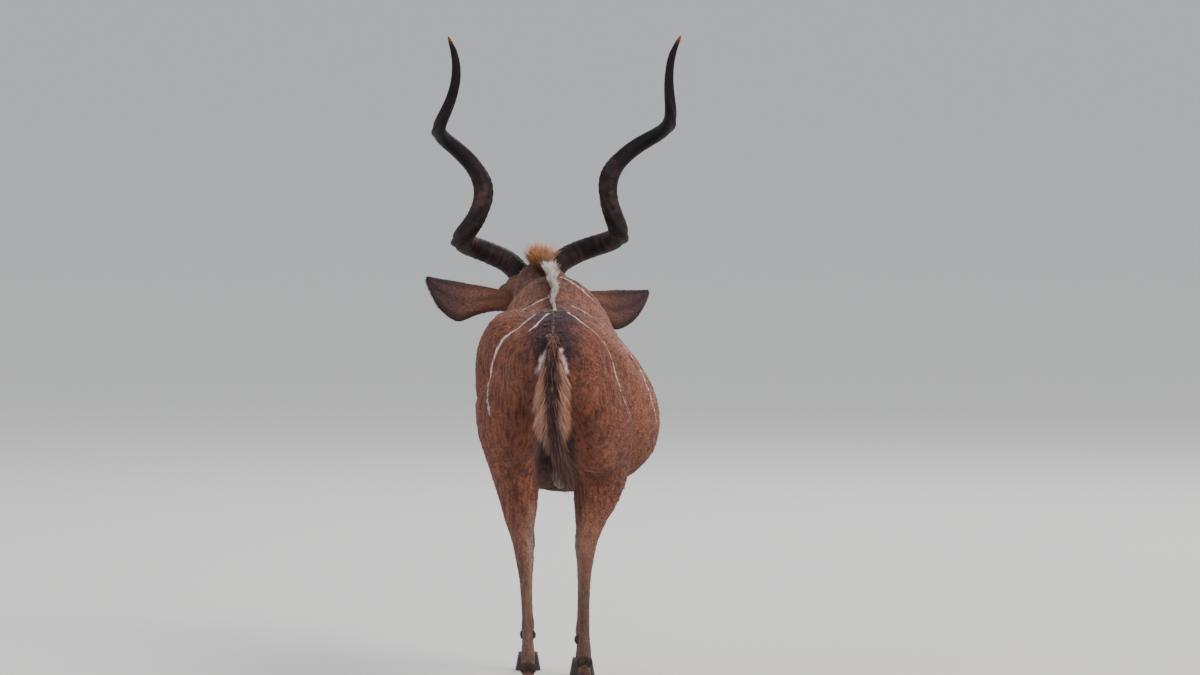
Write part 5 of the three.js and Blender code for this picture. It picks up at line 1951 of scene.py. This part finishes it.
class KUDU_OT_hooves(bpy.types.Operator):
    """Two toes to each foot"""

    bl_idname = "kudu.hooves"
    bl_label = "Hooves"

    def execute(self, context):
        material = hair_material("Kudu hoof", 130.0, 0.25, 0.4)
        for name, rows in LEGS.items():
            x, y = rows[-2][:2]
            for side in SIDES:
                toe_name = "outer" if side == side_of(name) else "inner"
                piece = self.toe(f"toe_{name}_{toe_name}", x, y, side)
                dress(piece, material, "hoof", f"hoof_{name}_{toe_name}")
        return {"FINISHED"}

    def toe(self, name, x, y, side):
        """One toe: pointed ahead, round behind, with a flat sole."""
        def place(along, angle, reach):
            height = (HOOF_TOP + 4) * (1 - along)
            spread = 0.72 + 0.28 * along
            ahead = np.cos(angle)
            run = np.where(ahead > 0, TOE["length"] - TOE["heel"] - (1 - along) * 30, TOE["heel"])
            narrow = np.where(ahead > 0, 1 - 0.55 * ahead**2, 1)
            ring = 1 + 0.012 * np.sin(along * 34) * (1 - ease(0.9, 1, along))
            outer = reach * TOE["half_width"] * narrow * spread * ring * np.sin(angle)
            centre = x + side * (TOE["half_width"] * spread + TOE["clearance"])
            ahead_y = y + TOE["lean"] * along + reach * run * spread * ring * ahead
            return np.stack([centre + outer, ahead_y, height], 1)

        piece = ball(name, 40, 24, place)
        points = to_sizes(points_of(piece))
        paints = np.tile(PAINTS["hoof"], (len(points), 1))
        paints = mix(paints, PAINTS["hoof_top"], ease(48, 64, points[:, 2]))
        tone = 1 + 0.2 * np.sin(points[:, 2] * 0.9 + 2 * soft_noise(points, 30, 61))
        colour_points(piece, np.clip(paints * tone[:, None], 0, 1))
        pick(piece)
        bpy.ops.object.shade_smooth_by_angle(angle=math.radians(40))
        return piece


class KUDU_OT_stage(bpy.types.Operator):
    """Pale floor, soft light and the camera"""

    bl_idname = "kudu.stage"
    bl_label = "Stage"

    def execute(self, context):
        deselect()
        bpy.ops.mesh.primitive_plane_add(size=FLOOR["size"], location=(0, 0, -FLOOR["below"]))
        floor = bpy.context.object
        floor.name = "floor"
        material, _, _, shader = new_material("Pale floor")
        set_socket(shader, "Base Color", (0.72, 0.7, 0.67, 1))
        set_socket(shader, "Roughness", 0.9)
        floor.data.materials.append(material)
        world = bpy.data.worlds.new("Studio")
        world.use_nodes = True
        background = world.node_tree.nodes["Background"]
        set_socket(background, "Color", (0.9, 0.94, 1.0, 1))
        set_socket(background, "Strength", 0.78)
        context.scene.world = world
        for name, settings in LAMPS.items():
            self.lamp(name, *settings)
        self.camera(context)
        return {"FINISHED"}

    def lamp(self, name, place, size, power, colour):
        deselect()
        bpy.ops.object.light_add(type="AREA", location=place)
        lamp = bpy.context.object
        lamp.name = name
        lamp.data.size = size
        lamp.data.energy = power
        lamp.data.color = colour
        lamp.rotation_euler = (Vector((0, 0, 1)) - Vector(place)).to_track_quat("-Z", "Y").to_euler()

    def camera(self, context):
        target = Vector(to_row(VIEW["target"]))
        raised = math.radians(VIEW["raised"])
        away = VIEW["away"]
        place = target + Vector((0, -away * math.cos(raised), away * math.sin(raised)))
        deselect()
        bpy.ops.object.camera_add(location=place)
        camera = bpy.context.object
        camera.name = "camera"
        camera.data.lens = VIEW["lens"]
        camera.data.sensor_width = VIEW["sensor"]
        camera.data.clip_end = 1000
        camera.rotation_euler = (target - place).to_track_quat("-Z", "Y").to_euler()
        context.scene.camera = camera


class KUDU_PT_panel(bpy.types.Panel):
    """The pieces and their sizes"""

    bl_label = "Kudu Bull"
    bl_idname = "KUDU_PT_panel"
    bl_space_type = "VIEW_3D"
    bl_region_type = "UI"
    bl_category = "Kudu"

    def draw(self, context):
        layout = self.layout
        for name in ("coat_length", "face_length", "coat_depth", "tufts"):
            layout.prop(context.scene.kudu_sizes, name)
        for name in ("flank", "saddle", "stripe"):
            layout.prop(context.scene.kudu_colours, name)
        for operator in OPERATORS:
            layout.operator(operator.bl_idname)


OPERATORS = (
    KUDU_OT_skin,
    KUDU_OT_coat,
    KUDU_OT_mane,
    KUDU_OT_tail,
    KUDU_OT_ears,
    KUDU_OT_horns,
    KUDU_OT_eyes,
    KUDU_OT_hooves,
    KUDU_OT_stage,
)
CLASSES = (KuduSizes, KuduColours, *OPERATORS, KUDU_PT_panel)


def register():
    for one in CLASSES:
        bpy.utils.register_class(one)
    bpy.types.Scene.kudu_sizes = bpy.props.PointerProperty(type=KuduSizes)
    bpy.types.Scene.kudu_colours = bpy.props.PointerProperty(type=KuduColours)


def unregister():
    del bpy.types.Scene.kudu_colours
    del bpy.types.Scene.kudu_sizes
    for one in reversed(CLASSES):
        bpy.utils.unregister_class(one)


def main():
    register()
    bpy.ops.kudu.skin()
    bpy.ops.kudu.coat()
    bpy.ops.kudu.mane()
    bpy.ops.kudu.tail()
    bpy.ops.kudu.ears()
    bpy.ops.kudu.horns()
    bpy.ops.kudu.eyes()
    bpy.ops.kudu.hooves()
    bpy.ops.kudu.stage()


if __name__ == "__main__":
    main()
